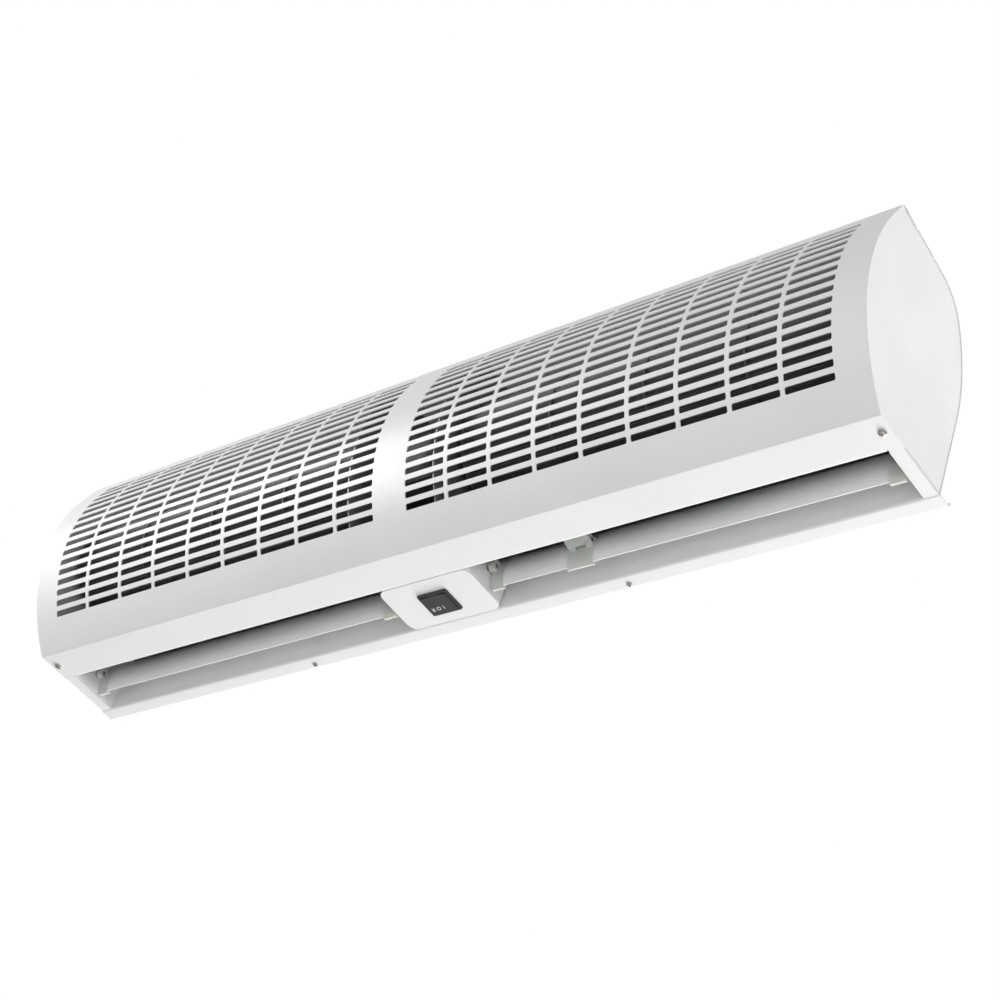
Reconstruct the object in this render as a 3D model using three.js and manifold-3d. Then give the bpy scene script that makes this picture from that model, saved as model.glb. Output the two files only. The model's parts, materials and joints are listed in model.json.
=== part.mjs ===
// Wall-hung air curtain, 900 mm long: a bowed, slotted front cover over two cross-flow impellers
// on one double-shaft motor, with two down-blowing outlets and a hand-set vane in each.
//
// Millimetres, +Z up, X along the length, -Y to the front, +Y to the wall. The shapes are drawn
// with z = 0 at the underside and y = 0 at the back of the outlet. The finished group is then
// moved so that the origin is the middle of the wall bracket's back face.

import * as THREE from 'three';
import { mergeVertices } from 'three/addons/utils/BufferGeometryUtils.js';
import Module from 'manifold-3d';

const wasm = await Module();
wasm.setup();

// ---------------------------------------------------------------- driving dimensions

// overall
const LENGTH = 900; // front cover, end to end
const SHEET = 1; // casing sheet
const GAP = 0.3; // between touching pieces
const END_INSET = 1; // end plates stand in from the casing's ends

// front cover, drawn as a section: a straight lip, one arc, a straight top
const FRONT_Y = -81.1; // bottom front edge
const LIP_ANGLE = 129.2; // degrees from +Y
const LIP_LENGTH = 31.2;
const BOW_RADIUS = 141.6;
const BOW_ANGLE = 60.5;
const CREST_LENGTH = 22.5;
const STRIP_REAR_Y = -48; // rear edge of the cover's bottom flange
const HEM_HEIGHT = 7;
const TOP_FLANGE = 20;

// slots of the front cover
const ROW_PITCH = 10;
const FIRST_ROW = 35; // first row's middle, measured up the section
const TOP_MARGIN = 13; // solid sheet above the last row's cell
const COLUMN_PITCH = 45.2;
const FIRST_COLUMN = 38.9; // first column's middle from the centre
const END_MARGIN = 25; // solid sheet beside the last column's cell
const SLOT_LENGTH = 41.6;
const SLOT_HEIGHT = 5.6;

// rear casing
const BACK_Y = 1.2; // inner face of the back
const STRIP_BACK_Y = 15.8; // rear edge of the rear flange
const REAR_HEM = 4.5;
const TOP_SLOPE = 9.9; // degrees down to the back
const CORNER_RADIUS = 47;
const BACK_RADIUS = 149;
const BACK_ARC = 32; // degrees of the large back arc
const REAR_LIP = 15; // casing tucked under the cover's top flange
const BACK_FLANGE = { low: 12, below: 6 }; // end plate's flange: foot, and top below the back's bend

// fan
const IMPELLER_DIAMETER = 100;
const FAN_BELOW_CREST = 82; // fan axis below the casing's highest edge
const SCROLL_GAP = 5; // impeller to scroll plate
const TONGUE_ANGLE = 262; // degrees round the fan
const SCROLL_TO_BACK = 7; // scroll plate to the casing's back at the axis
const BLADE_COUNT = 20;
const BLADE_DEPTH = 8.5;
const BLADE_THICKNESS = 1;
const BLADE_LEAD = 8; // degrees from inner to outer edge
const SUPPORT_RINGS = 1;
const DISC_THICKNESS = 2;
const SHAFT_RADIUS = 5;
const STUB_RADIUS = 4;
const BEARING_SEAT = 16;
const BUSH_RADIUS = 7;

// motor in the middle bay
const BAY_HALF = 46.8; // inner face of each partition
const STATOR_RADIUS = 43;
const STATOR_HALF = 22;
const BELL_DEPTH = 12;
const MOTOR_SIDES = 16;
const BOSS_RADIUS = 15;
const MOUNT_RING_RADIUS = 22;
const CRADLE_ARM = 2.5;
const CAPACITOR_HALF = 15.5;
const BAY_FLOOR = 4; // capacitor and terminal block above the underside
const TERMINAL_LENGTH = 30;

// switch panel and switch
const PANEL_CORNER = 8;
const PANEL_WALL = 27;
const SWITCH_Y = -21.7;
const BEZEL_LENGTH = 31.7;
const BEZEL_WIDTH = 25;
const BEZEL_DEPTH = 2;
const ROCKER_RADIUS = 14;
const ROCKER_WIDTH = 19.6;
const ROCKER_AXIS_Z = 1;
const ROCKER_PIN = 1.4;
const SWITCH_BODY_TOP = 24;

// outlet vanes
const SIDE_STRIP = 12.8; // outlet's outer end to the cover's end
const STRIP_CORNER = 8; // side strip's outer rear corner
const VANE_RADIUS = 29.5;
const VANE_CENTRE = { y: 7, z: 16.5 };
const VANE_LOW = -28.8; // degrees below the blade's mid line
const VANE_HIGH = 55;
const VANE_THICKNESS = 1.2;
const VANE_CLEARANCE = 3.2; // clip to outlet wall
const CLIP_LENGTH = 13;
const CLIP_FOOT = 3.8; // degrees that a clip reaches below the blade
const CLIP_WALL = 1.4;
const CLIP_CHAMFER = 3; // on the lower corner beside the casing
const PIVOT_STANDOFF = 4.6; // pivot axis in front of the blade's face
const PIVOT_ANGLE = 4.2; // degrees above the blade's centre
const PIVOT_RADIUS = 2;
const PIVOT_BOSS = 4.6;
const STAY_X = 144; // middle stay of the right vane
const STAY_HALF = 12;
const STAY_Z = 20.5;
const STAY_KNUCKLE = 2.8; // radius of the stay's barrel and of the clip's ears
const STAY_BARREL = 5; // half the barrel's length
const STAY_PIN_RADIUS = 1.4;

// wall bracket
const WALL_GAP = 0.2; // rear hem to the wall
const BRACKET_SHEET = 1.2;
const BRACKET_HALF = 300;
const BRACKET_BASE = 22;
const BRACKET_TOP = 118;
const HOOK_HEIGHT = 36;
const HOOK_X = 210;
const WALL_HOLE_RADIUS = 3;
const HANG_SCREW_X = 172;
const HANG_SCREW_Y = 10.5;
const COVER_SCREW_INSET = 7.5;
const COVER_SCREW_Y = -66;
const SCREW_RADIUS = 1.8;

// ---------------------------------------------------------------- sizes that follow

const HALF = LENGTH / 2;
const PLATE_OUT = HALF - END_INSET; // end plate's outer face
const PLATE_IN = PLATE_OUT - 1.2;
const WALL_IN = HALF - SIDE_STRIP; // bulkhead's face to the outlet
const WALL_OUT = WALL_IN + SHEET;
const TRAY_HALF = BAY_HALF + 2 * SHEET + GAP; // switch panel's outer wall
const OUTLET_START = TRAY_HALF + GAP;
const FAN_R = IMPELLER_DIAMETER / 2;
const FAN_Y = BACK_Y - SCROLL_TO_BACK - SHEET - SCROLL_GAP - FAN_R;
const FAN_START = TRAY_HALF + 7.5; // impeller's disc next to the motor
const FAN_END = WALL_IN - 13;
const MOTOR_END = STATOR_HALF + GAP + BELL_DEPTH;
const BOSS_END = BAY_HALF - 2;
const SHAFT_END = FAN_START + 12;
const WALL_Y = STRIP_BACK_Y + WALL_GAP;

const rad = THREE.MathUtils.degToRad;

// ---------------------------------------------------------------- section drawing, in (y, z)

const at = (y, z) => new THREE.Vector2(y, z);
const polar = (centre, radius, degrees) =>
  at(centre.y + radius * Math.cos(rad(degrees)), centre.z + radius * Math.sin(rad(degrees)));

function arc(centre, radius, from, to, steps) {
  return Array.from({ length: steps + 1 }, (_, i) =>
    polar(centre, radius, from + ((to - from) * i) / steps));
}

// a line moved sideways by a distance, to the left of its direction, with mitred corners
function offset(line, distance) {
  const normal = (a, b) => at(a.y - b.y, b.x - a.x).normalize();
  return line.map((point, i) => {
    const before = i > 0 ? normal(line[i - 1], point) : normal(point, line[i + 1]);
    const after = i < line.length - 1 ? normal(point, line[i + 1]) : before;
    const mitre = before.clone().add(after).normalize();
    return point.clone().addScaledVector(mitre, distance / mitre.dot(before));
  });
}

// a line with its inner corners rounded
function rounded(line, radius, steps = 3) {
  return line.flatMap((point, i) => {
    if (i === 0 || i === line.length - 1) return [point];
    const before = line[i - 1].clone().sub(point);
    const after = line[i + 1].clone().sub(point);
    const half = Math.abs(before.angleTo(after)) / 2;
    const back = Math.min(radius / Math.tan(half), before.length() / 2, after.length() / 2);
    const start = point.clone().addScaledVector(before.normalize(), back);
    const end = point.clone().addScaledVector(after.normalize(), back);
    return new THREE.QuadraticBezierCurve(start, point, end).getPoints(steps);
  });
}

// the closed outline of sheet metal that lies to the right of a line
const sheetShape = (line, thickness = SHEET) =>
  new THREE.Shape([...line, ...offset(line, -thickness).reverse()]);

const hole = (y, z, radius, sides = 16) =>
  new THREE.Path(arc({ y, z }, radius, 0, 360 - 360 / sides, sides - 1));

const pivotPoint = polar(VANE_CENTRE, VANE_RADIUS + PIVOT_STANDOFF, 180 - PIVOT_ANGLE);
const PIVOT = { y: pivotPoint.x, z: pivotPoint.y };

function roundedRect(halfX, halfY, radius) {
  const shape = new THREE.Shape();
  const corner = (x, y, from) => shape.absarc(x, y, radius, rad(from), rad(from + 90), false);
  corner(halfX - radius, halfY - radius, 0);
  corner(radius - halfX, halfY - radius, 90);
  corner(radius - halfX, radius - halfY, 180);
  corner(halfX - radius, radius - halfY, 270);
  return shape;
}

// ---------------------------------------------------------------- solids

const SECTION_TO_WORLD = new THREE.Matrix4().makeBasis(
  new THREE.Vector3(0, 1, 0), new THREE.Vector3(0, 0, 1), new THREE.Vector3(1, 0, 0));

// a (y, z) section carried along X
function alongX(shape, from, to, curveSegments = 6) {
  const [low, high] = [Math.min(from, to), Math.max(from, to)];
  const options = { depth: high - low, bevelEnabled: false, curveSegments };
  return new THREE.ExtrudeGeometry(shape, options).applyMatrix4(SECTION_TO_WORLD).translate(low, 0, 0);
}

// an (x, y) outline carried up Z
function alongZ(shape, from, to, curveSegments = 3) {
  const options = { depth: to - from, bevelEnabled: false, curveSegments };
  return new THREE.ExtrudeGeometry(shape, options).translate(0, 0, from);
}

// a body turned about a line along X; the profile is a list of [x, radius]
function turnedX(profile, y, z, sides = 12) {
  const points = profile.map(([x, radius]) => at(radius, x));
  points.push(points[0].clone());
  if (THREE.ShapeUtils.isClockWise(points)) points.reverse();
  return new THREE.LatheGeometry(points, sides).rotateZ(-Math.PI / 2).translate(0, y, z);
}

// a body turned about a line along Z; the profile is a list of [z, radius]
function turnedZ(profile, x, y, sides = 12) {
  return turnedX(profile, 0, 0, sides).rotateY(-Math.PI / 2).translate(x, y, 0);
}

function box(x0, x1, y0, y1, z0, z1) {
  const size = [Math.abs(x1 - x0), Math.abs(y1 - y0), Math.abs(z1 - z0)];
  return new THREE.BoxGeometry(...size).translate((x0 + x1) / 2, (y0 + y1) / 2, (z0 + z1) / 2);
}

function toSolid(geometry) {
  const bare = geometry.clone();
  bare.deleteAttribute('normal');
  bare.deleteAttribute('uv');
  const merged = mergeVertices(bare);
  const mesh = new wasm.Mesh({
    numProp: 3,
    vertProperties: new Float32Array(merged.attributes.position.array),
    triVerts: new Uint32Array(merged.index.array),
  });
  return new wasm.Manifold(mesh);
}

function toGeometry(solid) {
  const { vertProperties, triVerts } = solid.getMesh();
  const indexed = new THREE.BufferGeometry();
  indexed.setAttribute('position', new THREE.BufferAttribute(vertProperties, 3));
  indexed.setIndex(new THREE.BufferAttribute(triVerts, 1));
  const geometry = indexed.toNonIndexed();
  geometry.computeVertexNormals();
  return geometry;
}

const joined = (...geometries) => geometries.map(toSolid).reduce((sum, next) => sum.add(next));
const cut = (solid, ...tools) => tools.map(toSolid).reduce((rest, tool) => rest.subtract(tool), solid);

// ---------------------------------------------------------------- finishes

const finish = (color, roughness, metalness) =>
  new THREE.MeshStandardMaterial({ color, roughness, metalness });

const paint = finish(0xf1f2f2, 0.42, 0.1);
const zinc = finish(0xb9bdbf, 0.45, 0.8);
const aluminium = finish(0x777a7c, 0.5, 0.7);
const steel = finish(0xc9c7c0, 0.3, 1);
const blackPlastic = finish(0x1d1d1f, 0.4, 0);
const ivoryPlastic = finish(0xe6e6da, 0.5, 0);
const rubber = finish(0x222222, 0.85, 0);
const motorPaint = finish(0x2c2f33, 0.5, 0.3);

const airCurtain = new THREE.Group();

function add(name, shape, material) {
  const geometry = shape.isBufferGeometry ? shape : toGeometry(shape);
  const mesh = new THREE.Mesh(geometry, material);
  mesh.name = name;
  airCurtain.add(mesh);
  return mesh;
}

const sides = [['left', -1], ['right', 1]];

// ---------------------------------------------------------------- casing sections

const bowStart = at(FRONT_Y, 0).addScaledVector(polar({ y: 0, z: 0 }, 1, LIP_ANGLE), LIP_LENGTH);
const bowCentre = (({ x, y }) => ({ y: x, z: y }))(
  bowStart.clone().add(polar({ y: 0, z: 0 }, BOW_RADIUS, LIP_ANGLE - 90)));
const SECTION_LENGTH = LIP_LENGTH + BOW_RADIUS * rad(BOW_ANGLE) + CREST_LENGTH;

// the point of the cover's outer face at a length measured up from its bottom front edge
function coverPoint(length) {
  const upLip = polar({ y: 0, z: 0 }, 1, LIP_ANGLE);
  if (length <= LIP_LENGTH) return at(FRONT_Y, 0).addScaledVector(upLip, length);
  const bowLength = SECTION_LENGTH - CREST_LENGTH - LIP_LENGTH;
  const turned = (Math.min(length - LIP_LENGTH, bowLength) / BOW_RADIUS) * (180 / Math.PI);
  const onBow = polar(bowCentre, BOW_RADIUS, LIP_ANGLE + 90 - turned);
  const beyond = Math.max(0, length - LIP_LENGTH - bowLength);
  return onBow.addScaledVector(polar({ y: 0, z: 0 }, 1, LIP_ANGLE - turned), beyond);
}

const ROWS = Math.floor((SECTION_LENGTH - TOP_MARGIN - FIRST_ROW + ROW_PITCH / 2) / ROW_PITCH);
const COLUMNS = Math.floor((HALF - END_MARGIN - FIRST_COLUMN + COLUMN_PITCH / 2) / COLUMN_PITCH);
const rowEdge = (row) => FIRST_ROW + (row - 0.5) * ROW_PITCH;

// outer face of the cover: one flat strip for each row of slots
const coverFace = [
  coverPoint(0),
  ...Array.from({ length: ROWS + 1 }, (_, row) => coverPoint(rowEdge(row))),
  coverPoint(SECTION_LENGTH),
];
const crest = coverFace.at(-1);
const FAN_Z = crest.y - FAN_BELOW_CREST;
const downSlope = polar({ y: 0, z: 0 }, 1, -TOP_SLOPE);

const coverLine = [
  ...rounded([at(STRIP_REAR_Y, HEM_HEIGHT), at(STRIP_REAR_Y, 0), coverFace[0], coverFace[1]], 2),
  ...coverFace.slice(2),
  crest.clone().addScaledVector(downSlope, TOP_FLANGE),
];

// inner face of the rear casing, from the rear hem up the back and over the top to its lip
const topAngle = 90 - TOP_SLOPE;
const backCentreY = BACK_Y - BACK_RADIUS;
const cornerCentreY = backCentreY + (BACK_RADIUS - CORNER_RADIUS) * Math.cos(rad(BACK_ARC));
const topEndY = cornerCentreY + CORNER_RADIUS * Math.cos(rad(topAngle));
const innerTopZ = (y) =>
  crest.y - (y - crest.x) * Math.tan(rad(TOP_SLOPE)) - SHEET / Math.cos(rad(TOP_SLOPE));
const cornerCentreZ = innerTopZ(topEndY) - CORNER_RADIUS * Math.sin(rad(topAngle));
const backCentreZ = cornerCentreZ - (BACK_RADIUS - CORNER_RADIUS) * Math.sin(rad(BACK_ARC));
const backCentre = { y: backCentreY, z: backCentreZ };
const cornerCentre = { y: cornerCentreY, z: cornerCentreZ };

const flangeEnd = crest.clone().addScaledVector(downSlope, TOP_FLANGE + GAP);
const onTop = (along, below) =>
  flangeEnd.clone().addScaledVector(downSlope, along)
    .addScaledVector(polar({ y: 0, z: 0 }, 1, topAngle), -below);
const backLine = [
  ...arc(backCentre, BACK_RADIUS, 0, BACK_ARC, 6),
  ...arc(cornerCentre, CORNER_RADIUS, BACK_ARC, topAngle, 5).slice(1),
];
const lipDrop = 2 * SHEET + GAP;
const lipLine = [onTop(3, SHEET), onTop(SHEET / 2, lipDrop), onTop(-REAR_LIP, lipDrop)];
const casingLine = [
  ...rounded([at(STRIP_BACK_Y, REAR_HEM), at(STRIP_BACK_Y, 0), at(BACK_Y, 0), at(BACK_Y, backCentreZ)], 2.5)
    .slice(0, -1),
  ...backLine,
  ...lipLine,
];

// outline of a plate that closes the casing's section, just clear of both sheets
function closingOutline() {
  const underCover = offset([...coverFace, flangeEnd], -SHEET - GAP).slice(0, -1);
  const front = underCover.filter((_, i) => i % 2 === 1 || i === underCover.length - 1);
  const footY = front[0].x + (front[0].y - SHEET - GAP) / Math.tan(rad(180 - LIP_ANGLE));
  const top = offset([...backLine, ...lipLine], GAP).reverse();
  const lipEnd = [onTop(-REAR_LIP - GAP, SHEET + GAP), onTop(-REAR_LIP - GAP, lipDrop + GAP)];
  return [at(footY, SHEET + GAP), ...front, ...lipEnd, ...top.slice(1)];
}

// ---------------------------------------------------------------- casing pieces

function slotRow(row) {
  const [low, high] = [coverPoint(rowEdge(row)), coverPoint(rowEdge(row + 1))];
  const middle = low.clone().add(high).multiplyScalar(0.5);
  const lean = Math.atan2(high.y - low.y, high.x - low.x) - Math.PI / 2;
  return sides.flatMap(([, side]) => Array.from({ length: COLUMNS }, (_, column) =>
    new THREE.BoxGeometry(SLOT_LENGTH, 4 * SHEET, SLOT_HEIGHT)
      .rotateX(lean)
      .translate(side * (FIRST_COLUMN + column * COLUMN_PITCH), middle.x, middle.y)));
}

function frontCover() {
  let cover = toSolid(alongX(sheetShape(coverLine), -HALF, HALF));
  for (let row = 0; row < ROWS; row += 1) cover = cut(cover, ...slotRow(row));
  for (const [, side] of sides) {
    const hemEnd = box(side * (WALL_IN - 1), side * (HALF + 1), STRIP_REAR_Y - SHEET - GAP, STRIP_REAR_Y + 1,
      SHEET, HEM_HEIGHT + 1);
    const tab = box(side * (WALL_IN + GAP), side * HALF, STRIP_REAR_Y - 3, STRIP_REAR_Y, 0, SHEET);
    const screwX = side * (HALF - COVER_SCREW_INSET);
    cover = cut(cover, hemEnd).add(toSolid(tab));
    cover = cut(cover, turnedZ(screwHole(-1, SHEET + 1), screwX, COVER_SCREW_Y, 12));
  }
  return cover;
}

const screwHole = (low, high) => [[low, 0], [high, 0], [high, SCREW_RADIUS + GAP], [low, SCREW_RADIUS + GAP]];

function rearCasing() {
  const shell = toSolid(alongX(sheetShape(casingLine), -HALF, HALF));
  const screws = sides.map(([, side]) =>
    turnedZ(screwHole(-1, SHEET + 1), side * HANG_SCREW_X, HANG_SCREW_Y, 12));
  return cut(shell, ...screws, grommetTool());
}

// flat plate with three folded flanges: over the cover's front strip, beside the outlet, up the back
function endPlate(side) {
  const outline = [...closingOutline(), at(BACK_Y - GAP, 0), at(STRIP_REAR_Y + GAP, 0),
    at(STRIP_REAR_Y + GAP, SHEET + GAP)];
  const [inner, outer] = [side * (WALL_OUT + GAP), side * (PLATE_IN + 0.1)];
  const floor = SHEET + GAP;
  const plate = joined(
    alongX(new THREE.Shape(outline), side * PLATE_IN, side * PLATE_OUT),
    box(inner, outer, FRONT_Y + 5, STRIP_REAR_Y - SHEET - 2, floor, floor + SHEET),
    box(inner, outer, STRIP_REAR_Y + GAP, BACK_Y - GAP, 0, SHEET),
    box(inner, outer, BACK_Y - GAP - SHEET, BACK_Y - GAP, BACK_FLANGE.low, backCentreZ - BACK_FLANGE.below));
  return cut(plate, turnedZ(screwHole(0.5, 4), side * (HALF - COVER_SCREW_INSET), COVER_SCREW_Y, 12),
    cornerTool(side));
}

// what is cut off the side strip to round its outer rear corner
function cornerTool(side) {
  const centre = { y: PLATE_OUT - STRIP_CORNER, z: BACK_Y - GAP - STRIP_CORNER };
  const corner = new THREE.Shape([...arc(centre, STRIP_CORNER, 0, 90, 4), at(centre.y, BACK_Y + 1),
    at(PLATE_OUT + 1, BACK_Y + 1), at(PLATE_OUT + 1, centre.z)]);
  const tool = alongZ(corner, -1, SHEET + 1.5);
  return side > 0 ? tool : tool.rotateY(Math.PI).translate(0, 0, SHEET + 0.5);
}

function bulkhead(side) {
  const outline = new THREE.Shape([...closingOutline(), at(BACK_Y - GAP, 0), at(STRIP_REAR_Y + GAP, 0),
    at(STRIP_REAR_Y + GAP, SHEET + GAP)]);
  outline.holes.push(hole(FAN_Y, FAN_Z, BEARING_SEAT + GAP), hole(PIVOT.y, PIVOT.z, PIVOT_RADIUS + GAP, 12));
  return alongX(outline, side * WALL_IN, side * WALL_OUT, 12);
}

// the bay's side wall steps round the switch panel's folded corners
function partition(side) {
  const rise = SHEET + PANEL_WALL + GAP;
  const [front, rear] = [STRIP_REAR_Y + PANEL_CORNER + 1, BACK_Y - PANEL_CORNER - 1];
  const outline = new THREE.Shape([...closingOutline(), at(BACK_Y - GAP, rise), at(rear, rise),
    at(rear, SHEET + GAP), at(front, SHEET + GAP), at(front, rise), at(STRIP_REAR_Y - SHEET - GAP, rise),
    at(STRIP_REAR_Y - SHEET - GAP, SHEET + GAP)]);
  outline.holes.push(hole(FAN_Y, FAN_Z, SHAFT_RADIUS + 4), hole(PIVOT.y, PIVOT.z, PIVOT_RADIUS + GAP, 12));
  return alongX(outline, side * BAY_HALF, side * (BAY_HALF + SHEET), 10);
}

const tongue = polar({ y: FAN_Y, z: FAN_Z }, FAN_R + 4, TONGUE_ANGLE);
const tongueRoot = tongue.clone().add(at(5, -5));

// front wall of the outlet, with the tongue that shears the air off the impeller
function stabiliser(side) {
  const foot = STRIP_REAR_Y - SHEET - 2.5;
  const line = rounded([at(foot - 22, SHEET + GAP), at(foot, SHEET + GAP), tongueRoot, tongue,
    tongue.clone().add(at(-9, 3))], 3);
  return alongX(new THREE.Shape([...line, ...offset(line, SHEET).reverse()]),
    side * (OUTLET_START + GAP), side * (WALL_IN - GAP));
}

// volute behind the impeller: flat on the back, round the fan, then a lip against the casing
function scrollPlate(side) {
  const fan = { y: FAN_Y, z: FAN_Z };
  const face = BACK_Y - GAP - SHEET;
  const nose = polar(fan, FAN_R + SCROLL_GAP, 62);
  const toCorner = at(nose.x - cornerCentre.y, nose.y - cornerCentre.z).normalize();
  const seat = at(cornerCentre.y, cornerCentre.z)
    .addScaledVector(toCorner, CORNER_RADIUS - SHEET - GAP - 0.4);
  const line = [
    at(face, FAN_Z - 58), at(face, FAN_Z - 34),
    ...arc(fan, FAN_R + SCROLL_GAP + 1, -10, 62, 8),
    seat,
  ];
  return alongX(sheetShape(line), side * (OUTLET_START + GAP), side * (WALL_IN - GAP));
}

// ---------------------------------------------------------------- fan

// forward-leaning blade: its outer edge leads as the fan turns down the back
function bladeShape(angle) {
  const onFan = (radius, lead) => polar({ y: FAN_Y, z: FAN_Z }, radius, angle - lead);
  const line = [onFan(FAN_R - 0.6 - BLADE_DEPTH, 0), onFan(FAN_R - 0.6, BLADE_LEAD)];
  return sheetShape(line, BLADE_THICKNESS);
}

function impeller(side) {
  const span = FAN_END - FAN_START;
  const disc = (x, bore, boss, bossLength) => turnedX([
    [side * x, bore], [side * x, FAN_R], [side * (x + DISC_THICKNESS), FAN_R],
    [side * (x + DISC_THICKNESS), boss], [side * (x + bossLength), boss], [side * (x + bossLength), bore],
  ], FAN_Y, FAN_Z, BLADE_COUNT);
  const ring = (x) => turnedX([
    [x - 1, FAN_R - BLADE_DEPTH - 1.5], [x - 1, FAN_R], [x + 1, FAN_R], [x + 1, FAN_R - BLADE_DEPTH - 1.5],
  ], FAN_Y, FAN_Z, BLADE_COUNT);
  const rings = Array.from({ length: SUPPORT_RINGS }, (_, i) =>
    ring(side * (FAN_START + (span * (i + 1)) / (SUPPORT_RINGS + 1))));
  const blades = Array.from({ length: BLADE_COUNT }, (_, i) =>
    alongX(bladeShape((360 * (i + 0.7)) / BLADE_COUNT), side * (FAN_START + 0.5), side * (FAN_END - 0.5)));
  const motorDisc = disc(FAN_START, SHAFT_RADIUS + GAP, 12, 12);
  const outerDisc = turnedX([
    [side * FAN_END, STUB_RADIUS + GAP], [side * FAN_END, FAN_R], [side * (FAN_END - DISC_THICKNESS), FAN_R],
    [side * (FAN_END - DISC_THICKNESS), 10], [side * (FAN_END - 12), 10],
    [side * (FAN_END - 12), STUB_RADIUS + GAP],
  ], FAN_Y, FAN_Z, BLADE_COUNT);
  return joined(motorDisc, outerDisc, ...rings, ...blades);
}

const motorShaft = () => turnedX([[-SHAFT_END, 0], [-SHAFT_END, SHAFT_RADIUS], [SHAFT_END, SHAFT_RADIUS],
  [SHAFT_END, 0]], FAN_Y, FAN_Z);

function stubShaft(side) {
  const [from, to] = [side * (FAN_END - 12), side * (WALL_OUT + 3)];
  return turnedX([[from, 0], [from, STUB_RADIUS], [to, STUB_RADIUS], [to, 0]], FAN_Y, FAN_Z);
}

// grooved rubber that holds the end bearing in the bulkhead
function bearingRubber(side) {
  const x = (value) => side * value;
  return turnedX([
    [x(WALL_IN - 5), BUSH_RADIUS + GAP], [x(WALL_IN - 5), BEARING_SEAT], [x(WALL_IN - 4), BEARING_SEAT + 3],
    [x(WALL_IN - GAP), BEARING_SEAT + 3], [x(WALL_IN - GAP), BEARING_SEAT], [x(WALL_OUT + 5), BEARING_SEAT],
    [x(WALL_OUT + 5), BUSH_RADIUS + GAP],
  ], FAN_Y, FAN_Z);
}

const bearingBush = (side) => turnedX([
  [side * (WALL_IN - 7), STUB_RADIUS + GAP], [side * (WALL_IN - 7), BUSH_RADIUS],
  [side * (WALL_OUT + 6), BUSH_RADIUS], [side * (WALL_OUT + 6), STUB_RADIUS + GAP],
], FAN_Y, FAN_Z);

// ---------------------------------------------------------------- motor bay

function stator() {
  const core = [[-STATOR_HALF, SHAFT_RADIUS + GAP], [-STATOR_HALF, STATOR_RADIUS],
    [STATOR_HALF, STATOR_RADIUS], [STATOR_HALF, SHAFT_RADIUS + GAP]];
  return turnedX(core, FAN_Y, FAN_Z, MOTOR_SIDES);
}

function motorBell(side) {
  const x = (value) => side * value;
  return turnedX([
    [x(STATOR_HALF + GAP), SHAFT_RADIUS + GAP], [x(STATOR_HALF + GAP), STATOR_RADIUS],
    [x(STATOR_HALF + 5), STATOR_RADIUS], [x(STATOR_HALF + 8), STATOR_RADIUS - 4],
    [x(MOTOR_END), BOSS_RADIUS + 6], [x(MOTOR_END), BOSS_RADIUS], [x(BOSS_END), BOSS_RADIUS],
    [x(BOSS_END), SHAFT_RADIUS + GAP],
  ], FAN_Y, FAN_Z, MOTOR_SIDES);
}

const motorRing = (side) => turnedX([
  [side * (MOTOR_END + GAP), BOSS_RADIUS + GAP], [side * (MOTOR_END + GAP), MOUNT_RING_RADIUS],
  [side * (BOSS_END - 1), MOUNT_RING_RADIUS], [side * (BOSS_END - 1), BOSS_RADIUS + GAP],
], FAN_Y, FAN_Z, MOTOR_SIDES);

function motorCradle() {
  const seat = hole(FAN_Y, FAN_Z, MOUNT_RING_RADIUS + GAP);
  const rear = BACK_Y - GAP;
  const [low, high] = [SHEET + PANEL_WALL + 2, backCentreZ];
  const arm = new THREE.Shape([
    at(rear, low), at(rear, high), ...arc({ y: FAN_Y, z: FAN_Z }, MOUNT_RING_RADIUS + 7, 20, 270, 9),
  ]);
  arm.holes.push(seat);
  const inner = MOTOR_END + 2.2;
  const arms = sides.map(([, side]) => alongX(arm, side * inner, side * (inner + CRADLE_ARM), 12));
  return joined(box(-inner - CRADLE_ARM, inner + CRADLE_ARM, rear - 2, rear, low, high), ...arms);
}

function capacitor() {
  const outline = roundedRect(CAPACITOR_HALF, CAPACITOR_HALF, 2.5);
  const place = [0, STRIP_REAR_Y - 3 - CAPACITOR_HALF, BAY_FLOOR + CAPACITOR_HALF];
  return alongX(outline, -BAY_HALF + GAP, -BAY_HALF + GAP + 18, 3).translate(...place);
}

// three-way block on the right-hand partition, opposite the capacitor
function terminalBlock() {
  const half = TERMINAL_LENGTH / 2;
  const profile = [at(0, 16), at(-6, 16), at(-9, 13), at(-9, 0), at(0, 0)];
  const ways = [-1, 0, 1].map((way) => box(way * 9.5 - 3.3, way * 9.5 + 3.3, -12, -5, 4, 11));
  const block = cut(toSolid(alongX(new THREE.Shape(profile), -half, half)), ...ways);
  return toGeometry(block).rotateZ(-Math.PI / 2)
    .translate(BAY_HALF - GAP, STRIP_REAR_Y - 3 - half, BAY_FLOOR);
}

// ---------------------------------------------------------------- switch

const trayCentreY = (STRIP_REAR_Y + BACK_Y) / 2;
const trayHalfY = (BACK_Y - STRIP_REAR_Y) / 2 - GAP;

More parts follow.
